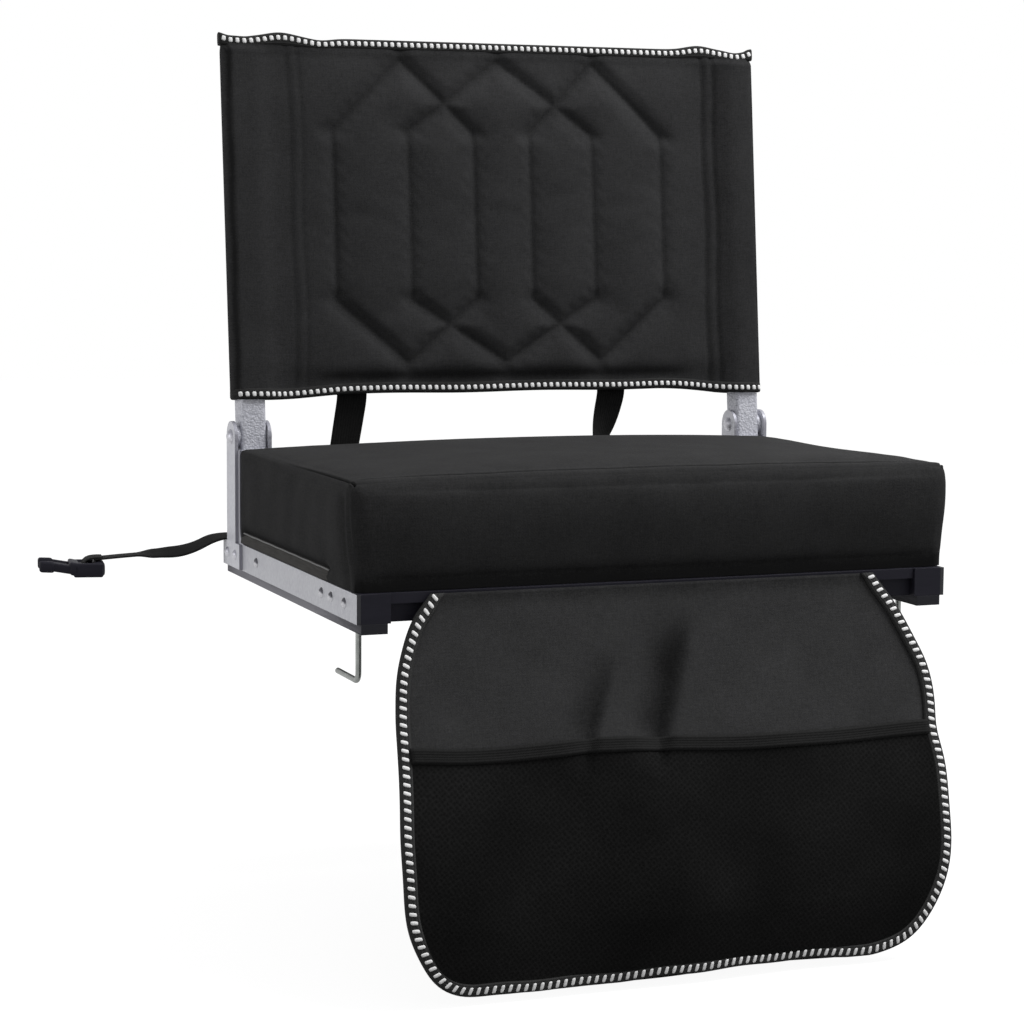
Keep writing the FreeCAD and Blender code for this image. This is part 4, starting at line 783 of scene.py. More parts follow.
def seat_half(y):
    """Half width of the cushion at a depth."""
    return np.interp(y, [-158, -150, -81, 0, 109, 118], [215.5, 215.5, 214.9, 214.5, 214.6, 214.6])


def side_round(y):
    """Rounding of the cushion's upper side edges, sharper to the rear."""
    return np.interp(y, [-158, -60, 50, 118], [8.5, 7.0, 4.0, 3.0])


def seat_cushion():
    """Foam cushion in a sewn cover: top panel, front, sides and rear."""
    close = (0.9, 1.7, 2.5, 3.3, 4.8, 6.4, 7.7, 8.5, 9.3, 10.7, 14)
    xs = spread(-SEAT_HALF, SEAT_HALF, 5.6, close)
    ys = spread(SEAT_FRONT, SEAT_REAR, 5.6, close)
    zs = spread(-SEAT_EDGE, -SEAT_LOW, 5.2, close, both=False)[1:]
    zs = np.unique(np.concatenate([-zs, [HEM_LOW - 1.2, HEM_LOW, HEM_LOW + 1.5]]))[::-1]
    nx, ny = len(xs), len(ys)
    grid_x, grid_y = np.meshgrid(xs, ys)
    box = [np.stack([grid_x, grid_y, np.full_like(grid_x, SEAT_EDGE)], -1).reshape(-1, 3)]
    ring = ([(0, i) for i in range(nx)] + [(j, nx - 1) for j in range(1, ny)]
            + [(ny - 1, i) for i in range(nx - 2, -1, -1)] + [(j, 0) for j in range(ny - 2, 0, -1)])
    top = np.array([j * nx + i for j, i in ring])
    faces = strip_faces(ny, nx)
    above = top
    for z in zs:
        level = box[0][top].copy()
        level[:, 2] = z
        below = np.arange(len(top)) + sum(len(b) for b in box)
        box.append(level)
        for k in range(len(top)):
            n = (k + 1) % len(top)
            faces.append((above[k], below[k], below[n], above[n]))
        above = below
    box = np.concatenate(box)
    rounding = side_round(box[:, 1])
    inner = np.stack([np.clip(box[:, 0], rounding - SEAT_HALF, SEAT_HALF - rounding),
                      np.clip(box[:, 1], SEAT_FRONT + FRONT_ROUND, SEAT_REAR - REAR_ROUND),
                      np.minimum(box[:, 2], SEAT_EDGE - rounding)], 1)
    away = box - inner
    reach = np.stack([rounding, np.where(away[:, 1] > 0, REAR_ROUND, FRONT_ROUND), rounding], 1)
    away /= reach
    form = inner + reach * away / np.linalg.norm(away, axis=1)[:, None]
    form[:, 0] *= seat_half(form[:, 1]) / SEAT_HALF
    long = (form[:, 1] - SEAT_FRONT) / (SEAT_REAR - SEAT_FRONT)
    rise = np.interp(long, [0, 0.03, 0.14, 0.28, 0.5, 0.72, 0.97, 1], [0.2, 0.42, 0.72, 0.92, 1, 1, 0.75, 0.5])
    crown = 6.3 * rise * (1 - np.abs(form[:, 0] / SEAT_HALF) ** 2.2)
    form[:, 2] += crown * ease(form[:, 2], SEAT_EDGE - rounding, SEAT_EDGE)
    side = np.abs(box[:, 0]) > SEAT_HALF - 0.1
    lie = np.where(side[:, None], box[:, 1:], np.stack([box[:, 0], box[:, 1] + box[:, 2]], 1))
    thing = piece("seat_cushion", form, faces, lie, SEAT_CLOTH)
    keep_point(thing, "plan", box)
    seam = (np.abs(box[:, 2] - SEAT_EDGE) < 0.1) & (
        (np.abs(box[:, 1] - SEAT_FRONT - FRONT_ROUND) < 0.2) | (np.abs(np.abs(box[:, 0]) - SIDE_SEAM) < 0.2))
    held = seam | (box[:, 2] < HEM_LOW + 1) | (box[:, 1] > SEAT_REAR - 3)
    puff(thing, held, 6.0, 0.004, 2.4, 6)
    return finer(thing)


seat = seat_cushion()


def sew_seat(thing):
    """Seams, puckers, the tucked hem and soft dents in the finished cushion, with painted shade along them."""
    at, box, out = places_of(thing), kept_point(thing, "plan"), normals_of(thing)
    x, y, z = box.T
    push = np.zeros(len(at))
    on_top = ease(z, SEAT_EDGE - 3, SEAT_EDGE - 0.5)
    ripple = np.sin(x * 0.19 + 2 * np.sin(x * 0.043)) * 0.5 + np.sin(x * 0.071 + 1.3)
    front_seam = y - (SEAT_FRONT + 8.7 + ripple * 0.3)
    push += on_top * (-1.5 * hill(front_seam, 0, 0.9) + 0.7 * hill(front_seam, -4.2, 3.0)
                      - 0.4 * hill(front_seam, 5, 4))
    for sign in (-1, 1):
        side_seam = sign * x - SIDE_SEAM
        depth = 0.3 + 2.6 * (1 - ease(y, -150, 0))
        beside = 0.4 * (1 - ease(y, -120, 20)) * hill(side_seam, -5, 3.5)
        push += on_top * (-depth * hill(side_seam, 0, 1.1) - beside)
    push -= on_top * 3.8 * hill(y, BACK_LANDS, 9) * (1 - ease(np.abs(x), 185, 210))
    lower = 1 - ease(z, SEAT_EDGE - 14, SEAT_EDGE - 6)
    on_front = ease(-y, -SEAT_FRONT - 4, -SEAT_FRONT - 1)
    on_side = ease(np.abs(x), 210, 214) * (1 - on_front)
    loose = ease(z, HEM_LOW, HEM_LOW + 16) * (1 - ease(y, 80, 105))
    push += on_side * lower * loose * (0.25 * np.sin(y * 0.16 + 0.03 * z) + 0.35 * np.sin(y * 0.075 + 0.6))
    push -= on_side * lower * 1.7 * hill(y, -143.5, 7)
    hemmed = on_side * ease(y, HEM_FRONT - 8, HEM_FRONT + 2) * (1 - ease(y, 100, 111))
    push -= hemmed * (1.5 * hill(z, HEM_LOW + 0.6, 1.6) + 1.0 * hill(z, HEM_LOW - 1, 4.5))
    push += on_front * lower * (0.35 * np.sin(x * 0.031 + 0.012 * z) + 0.2 * np.sin(x * 0.083 + 1.0 + 0.02 * z))
    push += on_front * (1.5 * hill(z, 68, 18) - 1.4 * hill(z, SEAT_LOW - 1, 9))
    at += out * push[:, None]
    ahead, high = 1 - ease(y, SEAT_FRONT, -40), ease(z, 34, SEAT_EDGE)
    at[:, 0] += ahead * (ease(x, 170, 215) * (1.8 + 2.6 * high) - ease(-x, 170, 215) * 3.6 * high)
    at[:, 2] += 3.6 * (1 - ease(y, -170, 20)) * ease(z, 50, SEAT_EDGE)
    # Painted shade: the top seams, the foot of the front, a line above the side hem and the pucker by the front
    # corner.
    seams = 0.7 * on_top * (hill(front_seam, 0, 0.9) + hill(np.abs(x), SIDE_SEAM, 1.3) * (1 - ease(y, -40, 20)))
    foot = 0.75 * on_front * hill(z, SEAT_LOW, 9) + 0.35 * on_side * hill(z, HEM_LOW + 2, 4) * (y > HEM_FRONT)
    store_painted_shade(thing, seams + foot + 0.3 * on_side * lower * hill(y, -145, 6))
    at[:, 1] = np.minimum(at[:, 1], SEAT_REAR)
    limit = np.where(at[:, 1] > 115.8, 212.1, 220.5)
    at[:, 0] = np.clip(at[:, 0], -limit, limit)
    at[:, 2] = np.maximum(at[:, 2], SEAT_LOW)
    put_places(thing, at)
    drop_point(thing, "plan")


sew_seat(seat)


def seat_hem(sign):
    """Rolled hem along the foot of one side of the cover, pale for a painted highlight along its edge."""
    turns = [2 * math.pi * k / 10 for k in range(10)]
    rings, flat = [], []
    for y in np.linspace(108, HEM_FRONT - 2, 60):
        x, z = seat_half(y) - 0.45, HEM_LOW - 0.4 + 0.1 * math.sin(y * 0.2)
        rings.append([(sign * (x + 0.55 * math.cos(t)), y, z + 0.55 * math.sin(t)) for t in turns])
        flat.append([(y, k) for k in range(10)])
    return lofted("seat_hem_left" if sign < 0 else "seat_hem_right", rings, flat, HEM_HIGHLIGHT)


def seat_tuck(sign):
    """Strip of the cover drawn down over the board, below the hem of one side."""
    rim = [(-3.2, 35.2), (-0.9, 34.8), (-0.75, 34.2), (-0.2, 32.2), (0.3, 29.8), (0.7, 27.6), (0.5, 26.8),
           (-0.6, 26.6), (-3.2, 26.6)]
    rings, flat = [], []
    for y in np.linspace(113.5, HEM_FRONT - 4, 70):
        x = seat_half(y) - 1.2 * float(ease(-y, -HEM_FRONT - 14, -HEM_FRONT + 4))
        rings.append([(sign * (x + off + 0.15 * math.sin(y * 0.13 + z)), y, z) for off, z in rim])
        flat.append([(y, k * 2.0) for k in range(len(rim))])
    return lofted("seat_tuck_left" if sign < 0 else "seat_tuck_right", rings, flat, BOARD)


hems = [seat_hem(-1), seat_hem(1), seat_tuck(-1), seat_tuck(1)]
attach(seat, "base")
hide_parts("seat_cover", "seat_foam")
for hem in hems:
    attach(hem, "base")


# ---------------------------------------------------------------- back
BACK_HALF, FOLD_IN, CLOTH_LOW, CLOTH_TOP = 216.4, 210.5, 35.0, 287.9
LEAN, PIVOT_Y, PIVOT_Z = math.radians(5.8), 131.5, 104.0
SLEEVE_IN, SLEEVE_FULL = 169, 195
BACK_FACE = np.array([0, -math.cos(LEAN), math.sin(LEAN)])
HEXAGONS, QUILT = [], []
for left_x, peak_x, right_x in ((-134, -78.5, -23), (-75, 0, 75), (23, 78.5, 134)):
    ring = [(left_x, 99.8), (left_x, 225.8), (peak_x, 280.8), (right_x, 225.8), (right_x, 99.8), (peak_x, 51.8)]
    HEXAGONS.append(list(zip(ring, ring[1:] + ring[:1])))
    QUILT += HEXAGONS[-1]
UPRIGHT_LINES = [line for line in QUILT if line[0][0] == line[1][0]]
SLANTED_LINES = [line for line in QUILT if line[0][0] != line[1][0]]


def in_hexagons(x, height):
    """1 inside the quilted hexagons, falling to 0 outside them."""
    best = np.full(np.shape(x), -1e9)
    for sides in HEXAGONS:
        inside = np.full(np.shape(x), 1e9)
        for (x0, v0), (x1, v1) in sides:
            off = ((x - x0) * (v1 - v0) - (height - v0) * (x1 - x0)) / math.hypot(x1 - x0, v1 - v0)
            inside = np.minimum(inside, off)
        best = np.maximum(best, inside)
    return ease(best, -26, 4)


def quilt_side(x, height):
    """Height above the nearest slanted quilting line, less than 0 below it; 0 beside upright lines."""
    best, side = np.full(np.shape(x), 1e9), np.zeros(np.shape(x))
    for line in QUILT:
        (x0, v0), (x1, v1) = line
        gap = line_distance(x, height, [line])
        off = ((height - v0) * (x1 - x0) - (x - x0) * (v1 - v0)) / math.hypot(x1 - x0, v1 - v0)
        side = np.where(gap < best, off * np.sign(x1 - x0), side)
        best = np.minimum(best, gap)
    return side


def on_back(x, depth, height):
    """Places in the frame of points of the reclined back; depth grows to the rear."""
    x, depth, height = np.broadcast_arrays(x, depth, height)
    y = PIVOT_Y + depth * math.cos(LEAN) + height * math.sin(LEAN)
    return np.stack([x, y, PIVOT_Z - depth * math.sin(LEAN) + height * math.cos(LEAN)], -1)


def back_depth(x, height, rear=False):
    """How far one face of the back stands from its middle."""
    stations = [CLOTH_LOW, 53, 246.5, 285.0, CLOTH_TOP]

    def at(values):
        place = np.interp(height, stations, range(5))
        step = np.floor(np.clip(place, 0, 3.999)).astype(int)
        share = ease(place - step, 0, 1)
        values = np.array(values)
        return values[step] * (1 - share) + values[step + 1] * share

    sleeve = at([11.3, 11.3, 11.3, 11.0, 3.5])
    seam = at([3.84, 6, 6, 4.5, 3.0])
    pad = at([3.5, 6, 6, 4.5, 3.0]) if rear else at([4.8, 10.5, 10.5, 5.6, 3.3])
    wide = np.abs(x)
    inner = pad + (seam - pad) * np.clip(wide / SLEEVE_IN, 0, 1) ** 2
    slope = seam + (sleeve - seam) * ease(wide, SLEEVE_IN, SLEEVE_FULL)
    fold = sleeve * np.sqrt(np.clip(1 - ((wide - FOLD_IN) / (BACK_HALF - FOLD_IN)) ** 2, 0, 1))
    return np.where(wide > FOLD_IN, fold, np.where(wide > SLEEVE_IN, slope, inner))


def back_columns(step):
    turn = np.radians([90, 75, 60, 42, 21])
    fold = FOLD_IN + (BACK_HALF - FOLD_IN) * np.cos(turn)
    middle = np.linspace(-FOLD_IN, FOLD_IN, round(2 * FOLD_IN / step) + 1)
    return np.concatenate([-fold[:0:-1], middle, fold[1:]])


def back_cushion():
    """Quilted pad with a sleeve for each upright."""
    front = np.concatenate([[-BACK_HALF], back_columns(3.0), [BACK_HALF]])
    rear = back_columns(6.0)[::-1]
    xs = np.concatenate([front, rear])
    is_rear = np.arange(len(xs)) >= len(front)
    heights = np.linspace(CLOTH_LOW - 3, CLOTH_TOP + 3, 88)
    x, v = (a.copy() for a in np.meshgrid(xs, heights))
    behind = np.broadcast_to(is_rear, x.shape)
    pad = ~behind & (np.abs(x) < 166)
    for (x0, v0), (x1, v1) in QUILT:
        run = math.hypot(x1 - x0, v1 - v0)
        ax, av = (x1 - x0) / run, (v1 - v0) / run
        off = (x - x0) * -av + (v - v0) * ax
        along = (x - x0) * ax + (v - v0) * av
        near = pad & (np.abs(off) < 1.5) & (along > -1) & (along < run + 1)
        x[near] += off[near] * av
        v[near] -= off[near] * ax
    gap = line_distance(x, v, QUILT)
    depth = np.where(behind, back_depth(x, v, True), -back_depth(x, v))
    slanted = hill(line_distance(x, v, SLANTED_LINES), 0, 8.0 - 2.0 * np.clip(quilt_side(x, v) / 3, -1, 1))
    upright = hill(line_distance(x, v, UPRIGHT_LINES), 0, 4.5)
    depth = depth + pad * np.maximum(3.4 * slanted, 1.5 * upright)
    points = on_back(x, depth, v).reshape(-1, 3)
    flat = np.stack([np.where(behind, x + 500, x), v], -1).reshape(-1, 2)
    faces = strip_faces(len(heights), len(xs), round_columns=True)
    thing = piece("back_cushion", points, faces, flat, BACK_CLOTH)
    face_out(thing)
    keep_point(thing, "plan", np.stack([x, v, behind * 1.0], -1).reshape(-1, 3))
    held = ~(pad & (gap > 1.0) & (np.abs(x) < 164) & (v > CLOTH_LOW + 1) & (v < CLOTH_TOP - 1))
    puff(thing, held.ravel(), 8.0, 0.006, 3.2, 6, (0.35 + 0.65 * in_hexagons(x, v)).ravel())
    return finer(thing)


back = back_cushion()


def sew_back(thing):
    """Stitch lines, sleeve seams and slack folds in the finished back, with painted shade along them."""
    at, plan, out = places_of(thing), kept_point(thing, "plan"), normals_of(thing)
    x, v, behind = plan.T
    front = (behind < 0.5) & (np.abs(x) < 215)
    gap = line_distance(x, v, QUILT)
    push, darker = np.zeros(len(at)), np.zeros(len(at))
    push -= front * 0.5 * hill(gap, 0, 1.6)
    # Painted shade along the quilting lines and under the top tape.
    darker += front * (0.2 * hill(gap, 0, 2.6) + 0.3 * ease(v, CLOTH_TOP - 9, CLOTH_TOP - 2))
    for sign in (-1, 1):
        lean = 0.8 * np.sin(v * 0.05)
        first, strong = (158, 0.35) if sign < 0 else (171, 0.7)
        inner, outer = hill(sign * x - lean, first, 1.8), hill(sign * x - lean, first + 9, 1.8)
        push -= np.where(behind < 0.5, strong, 0.5) * (inner + outer) * (np.abs(x) < 205)
        push += front * 0.5 * strong * hill(sign * x - lean, first + 4.5, 2.2)
        edge_seam = hill(sign * x, 213.4 + 0.4 * np.sin(v * 0.09 + sign), 1.6)
        push -= front * edge_seam
        # Painted shade along the edge seams and sleeve seams, and on the sleeves' inner slopes.
        darker += front * (0.6 * edge_seam + 0.3 * strong * (inner + outer)
                           + 0.16 * hill(sign * x, first + 19, 10))
        slack = np.sin(sign * x * 0.11 + 0.03 * v + 1.5 * np.sin(v * 0.021))
        push += front * hill(sign * x, 190, 16) * 0.2 * slack
    low_band = hill(v, CLOTH_LOW + 6, 4.0) * (1 - ease(np.abs(x), 130, 160))
    push -= front * 1.4 * low_band
    # Painted shade along the low band.
    darker += front * 0.25 * low_band
    push += front * (1 - ease(gap, 0, 14)) * 0.2 * np.sin(v * 0.5 + x * 0.4) * ease(gap, 1.5, 6)
    at += out * push[:, None]
    put_places(thing, at)
    drop_point(thing, "plan")
    store_painted_shade(thing, darker)


sew_back(back)


def top_edge(x):
    """How far the back's upper edge stands above its line."""
    rise = 3.3 * (hill(x, -171, 15) + hill(x, 171, 15)) - 1.6 * hill(x, -139, 11) - 1.5 * hill(x, 203, 8)
    return rise + 2.2 * (hill(x, -218, 5) + hill(x, 217, 4)) - 0.5 * hill(x, -198, 6)


def low_edge(x):
    """How far the back's lower edge stands above its line."""
    return 2.0 - 3.0 * ease(np.abs(x), 125, 185) - 1.5 * ease(x, 150, 200) + 0.4 * np.sin(x * 0.05)


def back_top_trim():
    """Folded tape over the upper edge, and the path of its dashes."""
    xs = np.linspace(-217.4, 217.4, 190)
    rim = [(-2.4, -0.6), (-3.5, 0.2), (-3.9, 1.6), (-3.8, 5.4), (-3.0, 6.9), (-1.2, 7.5), (1.2, 7.5), (3.0, 6.9),
           (3.8, 5.4), (3.9, 1.6), (3.5, 0.2), (2.4, -0.6)]
    rings, flat = [], []
    for x, up in zip(xs, top_edge(xs)):
        rings.append([on_back(x, depth, CLOTH_TOP + height + up * (0.35 + 0.65 * np.clip(height / 5, 0, 1)))
                      for depth, height in rim])
        flat.append([(k * 1.6, x) for k in range(len(rim))])
    line = np.linspace(-214.5, 214.5, 200)
    path = on_back(line, -4.0, CLOTH_TOP + 3.75 + top_edge(line) * 0.85)
    return lofted("back_top_tape", rings, flat, TAPE), path


def back_low_trim():
    """Tape round the lower edge, open below each sleeve, and the path of its dashes in front."""
    front = np.concatenate([[-BACK_HALF], back_columns(4.0), [BACK_HALF]])
    rear = back_columns(4.0)[::-1]
    xs = np.concatenate([front, rear])
    face = np.concatenate([-back_depth(front, CLOTH_LOW), back_depth(rear, CLOTH_LOW, True)])
    loop = np.stack([xs, face], 1)
    along = np.roll(loop, -1, 0) - np.roll(loop, 1, 0)
    out = unit(np.stack([along[:, 1], -along[:, 0]], 1))
    rim = [(0.2, 7.8), (0.8, 7.0), (1.0, 5.5), (1.0, 1.4), (0.4, 0.2), (-0.6, -0.1), (-1.4, 0.6), (-1.6, 3), (-1.4, 7)]
    points, flat = [], []
    low = CLOTH_LOW - 7.2 + low_edge(xs)
    for k in range(len(xs)):
        for n, (off, height) in enumerate(rim):
            spot = loop[k] + out[k] * (off - ease(abs(xs[k]), 205, 214))
            points.append(on_back(spot[0], spot[1], low[k] + height))
            flat.append((n * 1.6, k * 4.0))
    faces = strip_faces(len(xs), len(rim), True, True)
    floor = np.linspace(-165, 165, 60)
    first = len(points)
    for side in (-1, 1):
        depth = side * (back_depth(floor, CLOTH_LOW, side > 0) - 1.2)
        for x, d in zip(floor, depth):
            points.append(on_back(x, d, CLOTH_LOW - 6.6 + low_edge(x)))
            flat.append((x, d))
    faces += strip_faces(2, len(floor), start=first)
    thing = face_out(piece("back_low_tape", points, faces, flat, TAPE))
    line, loop, out = (a[4:len(front) - 4] for a in (front, loop, out))
    put = loop + out * (1.1 - ease(np.abs(line), 205, 214))[:, None]
    path = on_back(put[:, 0], put[:, 1], CLOTH_LOW - 7.2 + 3.7 + low_edge(line))
    return thing, path, on_back(out[:, 0], out[:, 1], 0) - on_back(0, 0, 0)


back_dash = dash_shape("back_dash", 3.1, 3.7, 0.7, -0.3)
top_tape, top_path = back_top_trim()
low_tape, low_path, low_facing = back_low_trim()
top_facing = np.tile(BACK_FACE, (len(top_path), 1))
top_dashes = dashes("back_top_dashes", top_path, top_facing, back_dash, 5.2, BACK_THREAD)
low_dashes = dashes("back_low_dashes", low_path, low_facing, back_dash, 5.2, BACK_THREAD)
for thing, node, slot in ((back, ("back_cover", "back_foam"), "back_fabric"),
                          (top_tape, ("back_top_binding",), "binding_tape"),
                          (low_tape, ("back_bottom_binding",), "binding_tape"),
                          (top_dashes, (), "binding_tape"), (low_dashes, (), "binding_tape")):
    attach(thing, "back")
    if node:
        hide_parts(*node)


# ---------------------------------------------------------------- straps behind the back
def back_strap(name, node, top_x, foot_x, twist):
    """Webbing from the back's lower edge down to the rear crossbar."""
    marks = np.array([(foot_x, 152.75, 9.5), (foot_x, 152.75, 26.5), (top_x, 138.95, 130.3),
                      (top_x, 139.65, 137.2)])
    path, t = evened(marks, 60, 6)
    along = unit(np.gradient(path, axis=0))
    side = np.tile([1.0, 0, 0], (len(path), 1))
    bow = hill(t, t[-1] * 0.5, t[-1] * 0.24)
    thing = flat_strap(name, path, turned(side, along, twist * bow), 23.5, 1.5, WEBBING)
    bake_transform(thing)
    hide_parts(node)
    return thing


back_strap("left_back_web", "left_back_strap", -121.2, -134, 8)
back_strap("right_back_web", "right_back_strap", 91, 72, 60)

# ---------------------------------------------------------------- front flap
FLAP_ROOT, FLAP_TOP, FLAP_HEAD = -161.4, 25.2, 0.4
HANG = np.vstack([arc_through((0, 0), (62, 14.5), (124, 34), 40),
                  arc_through((124, 34), (189, 51), (254, 54), 40)[1:]])
HANG_SLOPE = np.gradient(HANG[:, 1], HANG[:, 0])
FLAP_EDGE = smooth_through([
    (-165.5, FLAP_HEAD), (-179, 16), (-187, 36), (-192.8, 56), (-194.8, 76), (-195.4, 97), (-198.4, 129),
    (-200.2, 168), (-199.4, 195), (-195, 216), (-185.6, 236.5), (-174, 248), (-157, 254), (-130, 254.6),
    (-94, 254.4), (-54, 254), (-8, 252.8), (36, 251.6), (80, 252.4), (112, 254), (137, 254), (160, 246.4),
    (178.3, 229), (191.5, 206), (197.4, 174), (197.8, 130), (195.6, 107), (196.8, 90), (196, 74), (192, 56),
    (178.4, 29), (158.5, FLAP_HEAD)])
FLAP_LEFT = FLAP_EDGE[:12 * 12 + 1]
FLAP_RIGHT = FLAP_EDGE[20 * 12:][::-1]


def crease(x, drop, start, end, slow, quick):
    """Depth, from 0 to 1, of a hanging fold along a line: slow to sink at its left, quick to rise at its right."""
    (x0, d0), (x1, d1) = start, end
    run = math.hypot(x1 - x0, d1 - d0)
    ax, ad = (x1 - x0) / run, (d1 - d0) / run
    along = (x - x0) * ax + (drop - d0) * ad
    right = (x - x0) * ad - (drop - d0) * ax
    reach = ease(along, -24, 30) * (1 - ease(along, run - 6, run + 32))
    return reach * np.where(right < 0, hill(right, 0, slow), hill(right, 0, quick))


LONG_FOLD = ((10, 36), (-11, 97), 17, 5)
SHORT_FOLD = ((-48, 64), (-61, 96), 14, 3.0)
POCKET_FOLDS = ((3.0, ((-70, 120), (-120, 190), 24, 14)), (2.6, ((60, 118), (20, 180), 26, 16)))


def flap_folds(x, drop):
    """How far the hanging cloth swells in front of its smooth form."""
    free = ease(drop, 4, 60)
    sides = 1 - ease(np.abs(x), 120, 190)
    folds = -12.0 * crease(x, drop, *LONG_FOLD) - 7.0 * crease(x, drop, *SHORT_FOLD)
    folds -= sum(deep * crease(x, drop, *fold) for deep, fold in POCKET_FOLDS)
    broad = 1.6 * np.sin(x * 0.023 + 0.5 + drop * 0.006) + 0.9 * np.sin(x * 0.047 - drop * 0.02)
    return free * (folds + sides * broad * ease(drop, 20, 140))


def on_flap(x, drop, lift=0.0):
    """Places in the frame of points of the hanging flap; lift is in front of the cloth."""
    x, drop, lift = (np.asarray(a, float) for a in np.broadcast_arrays(x, drop, lift))
    ahead = np.interp(drop, HANG[:, 0], HANG[:, 1])
    slope = np.interp(drop, HANG[:, 0], HANG_SLOPE)
    size = np.sqrt(1 + slope ** 2)
    off = lift + flap_folds(x, drop)
    return np.stack([x, FLAP_ROOT - ahead - off / size, FLAP_TOP - drop + off * slope / size], -1)


def flap_face(x, drop):
    """Way the front of the cloth faces."""
    a = on_flap(x + 0.5, drop) - on_flap(x - 0.5, drop)
    b = on_flap(x, drop + 0.5) - on_flap(x, drop - 0.5)
    face = unit(np.cross(a, b))
    return np.where(face[..., 1:2] > 0, -face, face)


def flap_sheet(name, drops, inset, lift, finish, top=None):
    """Cloth across the flap between two drops, in from its edge."""
    reached = drops + inset * ease(drops, 190, 254)
    left = np.interp(reached, FLAP_LEFT[:, 1], FLAP_LEFT[:, 0]) + inset
    right = np.interp(reached, FLAP_RIGHT[:, 1], FLAP_RIGHT[:, 0]) - inset
    share = np.linspace(0, 1, 150)
    x = left[:, None] + (right - left)[:, None] * share
    drop = np.repeat(drops[:, None], len(share), 1)
    drop = drop - 2.6 * hill(x, 38, 46) * ease(drop, 190, 254)
    if top is not None:
        drop = drop + top(x) * ((drops[-1] - drops) / (drops[-1] - drops[0]))[:, None]
    points = on_flap(x, drop, lift(x, drop) if callable(lift) else lift)
    flat = np.stack([x, drop * 1.03], -1).reshape(-1, 2)
    return piece(name, points.reshape(-1, 3), strip_faces(len(drops), len(share)), flat, finish)


def hem_dip(x):
    """How the pocket's hem hangs below its line."""
    dip = 4.6 * ease(x, -50, 60) - 2.2 * ease(x, 100, 190) - 2.0 * ease(-x, 150, 195)
    return dip + 1.2 * hill(x, -130, 40) - 0.8 * hill(x, -66, 14)


def pocket_swell(x, drop):
    """Slack of the pocket in front of the flap."""
    across = np.clip(1 - (x / 192) ** 4, 0, 1)
    down = np.clip((252 - drop) / 40, 0, 1)
    slack = 0.55 + 0.45 * np.sin(x * 0.021 + 0.8)
    slant = 0.5 * np.sin((x * 0.75 + drop * 0.66) * 0.062 + 0.4) * ease(drop, 112, 150)
    return 1.9 + across * down * (3.0 * slack + 2.4 * (slant + 0.5))


low_rows = 194 + 60 * np.sin(np.radians(np.linspace(0, 88, 40)))
cloth_rows = np.concatenate([np.linspace(FLAP_HEAD, 192, 90), low_rows])
flap_cloth = flap_sheet("flap_cloth", cloth_rows, 1.0, 0.0, FLAP_CLOTH)
thicken(flap_cloth, 1.2)
cloth_x, cloth_drop = places_of(flap_cloth)[:, 0], FLAP_TOP - places_of(flap_cloth)[:, 2]
# Painted shade on the flap: under the cushion along its top, and on the left side of the two long folds.
store_painted_shade(flap_cloth, 0.45 * (1 - ease(cloth_drop, -2, 14)) + 0.42 * crease(cloth_x, cloth_drop, *LONG_FOLD)
         + 0.4 * crease(cloth_x, cloth_drop, *SHORT_FOLD))
pocket_rows = np.concatenate([np.linspace(104, 192, 46), low_rows[:-4]])
pocket = flap_sheet("flap_pocket_net", pocket_rows, 4.0, pocket_swell, NET, hem_dip)
thicken(pocket, 0.7)
hem_rows = np.array([98.6, 99.1, 100.0, 101.2, 104.0, 105.4, 106.4, 107.3])
hem_lift = np.array([0.2, 1.2, 1.3, 1.1, 1.05, 1.1, 1.25, 0.3])


def pocket_hem():
    """Band sewn along the pocket's upper edge."""
    x = 188.0 * np.linspace(-1, 1, 120)
    points, flat = [], []
    for drop, lift in zip(hem_rows, hem_lift):
        spot = drop + hem_dip(x)
        points.append(on_flap(x, spot, pocket_swell(x, np.full_like(x, 112.0)) + lift))
        flat.append(np.stack([np.full_like(x, drop), x], -1))
    faces = strip_faces(len(hem_rows), len(x))
    return piece("flap_pocket_hem", np.concatenate(points), faces, np.concatenate(flat), HEM_BAND)


hem_band = thicken(pocket_hem(), 0.8, -1.0)


def flap_trim():
    """Tape folded over the flap's edge, and the path of its slanted dashes."""
    path, t = evened(FLAP_EDGE, 260, 3)
    along = unit(np.gradient(path, axis=0))
    inward = np.stack([along[:, 1], -along[:, 0]], 1)
    centre = np.array([0.0, 120.0])
    inward *= np.sign(((centre - path) * inward).sum(1))[:, None]
    level = 1 - ease(np.minimum(t, t[-1] - t), 0, 16)
    to_middle = np.stack([-np.sign(path[:, 0]), np.zeros(len(path))], 1)
    inward = unit(inward * (1 - level[:, None]) + to_middle * level[:, None])
    rim = [(0.0, 0.2), (0.25, 1.7), (1.2, 2.6), (3.0, 2.95), (6.5, 2.95), (8.8, 2.5), (9.6, 1.4), (9.3, 0.3),
           (9.3, -0.6), (9.0, -1.2), (6.0, -1.7), (2.0, -1.7), (0.5, -1.2)]
    wobble = 0.35 * np.sin(t * 0.11) + 0.3 * np.sin(t * 0.047 + 1)
    rings, flat = [], []
    for k in range(len(path)):
        spots = [(*(path[k] + inward[k] * (inset + wobble[k])), lift) for inset, lift in rim]
        rings.append([on_flap(x, np.clip(drop, FLAP_HEAD, 254), lift) for x, drop, lift in spots])
        flat.append([(n * 1.6, t[k]) for n in range(len(rim))])
    line = path[1:-1] + inward[1:-1] * (4.4 + wobble[1:-1, None])
    dash_path = on_flap(line[:, 0], line[:, 1], 3.05)
    return lofted("flap_edge_tape", rings, flat, FLAP_TAPE), dash_path, flap_face(line[:, 0], line[:, 1])


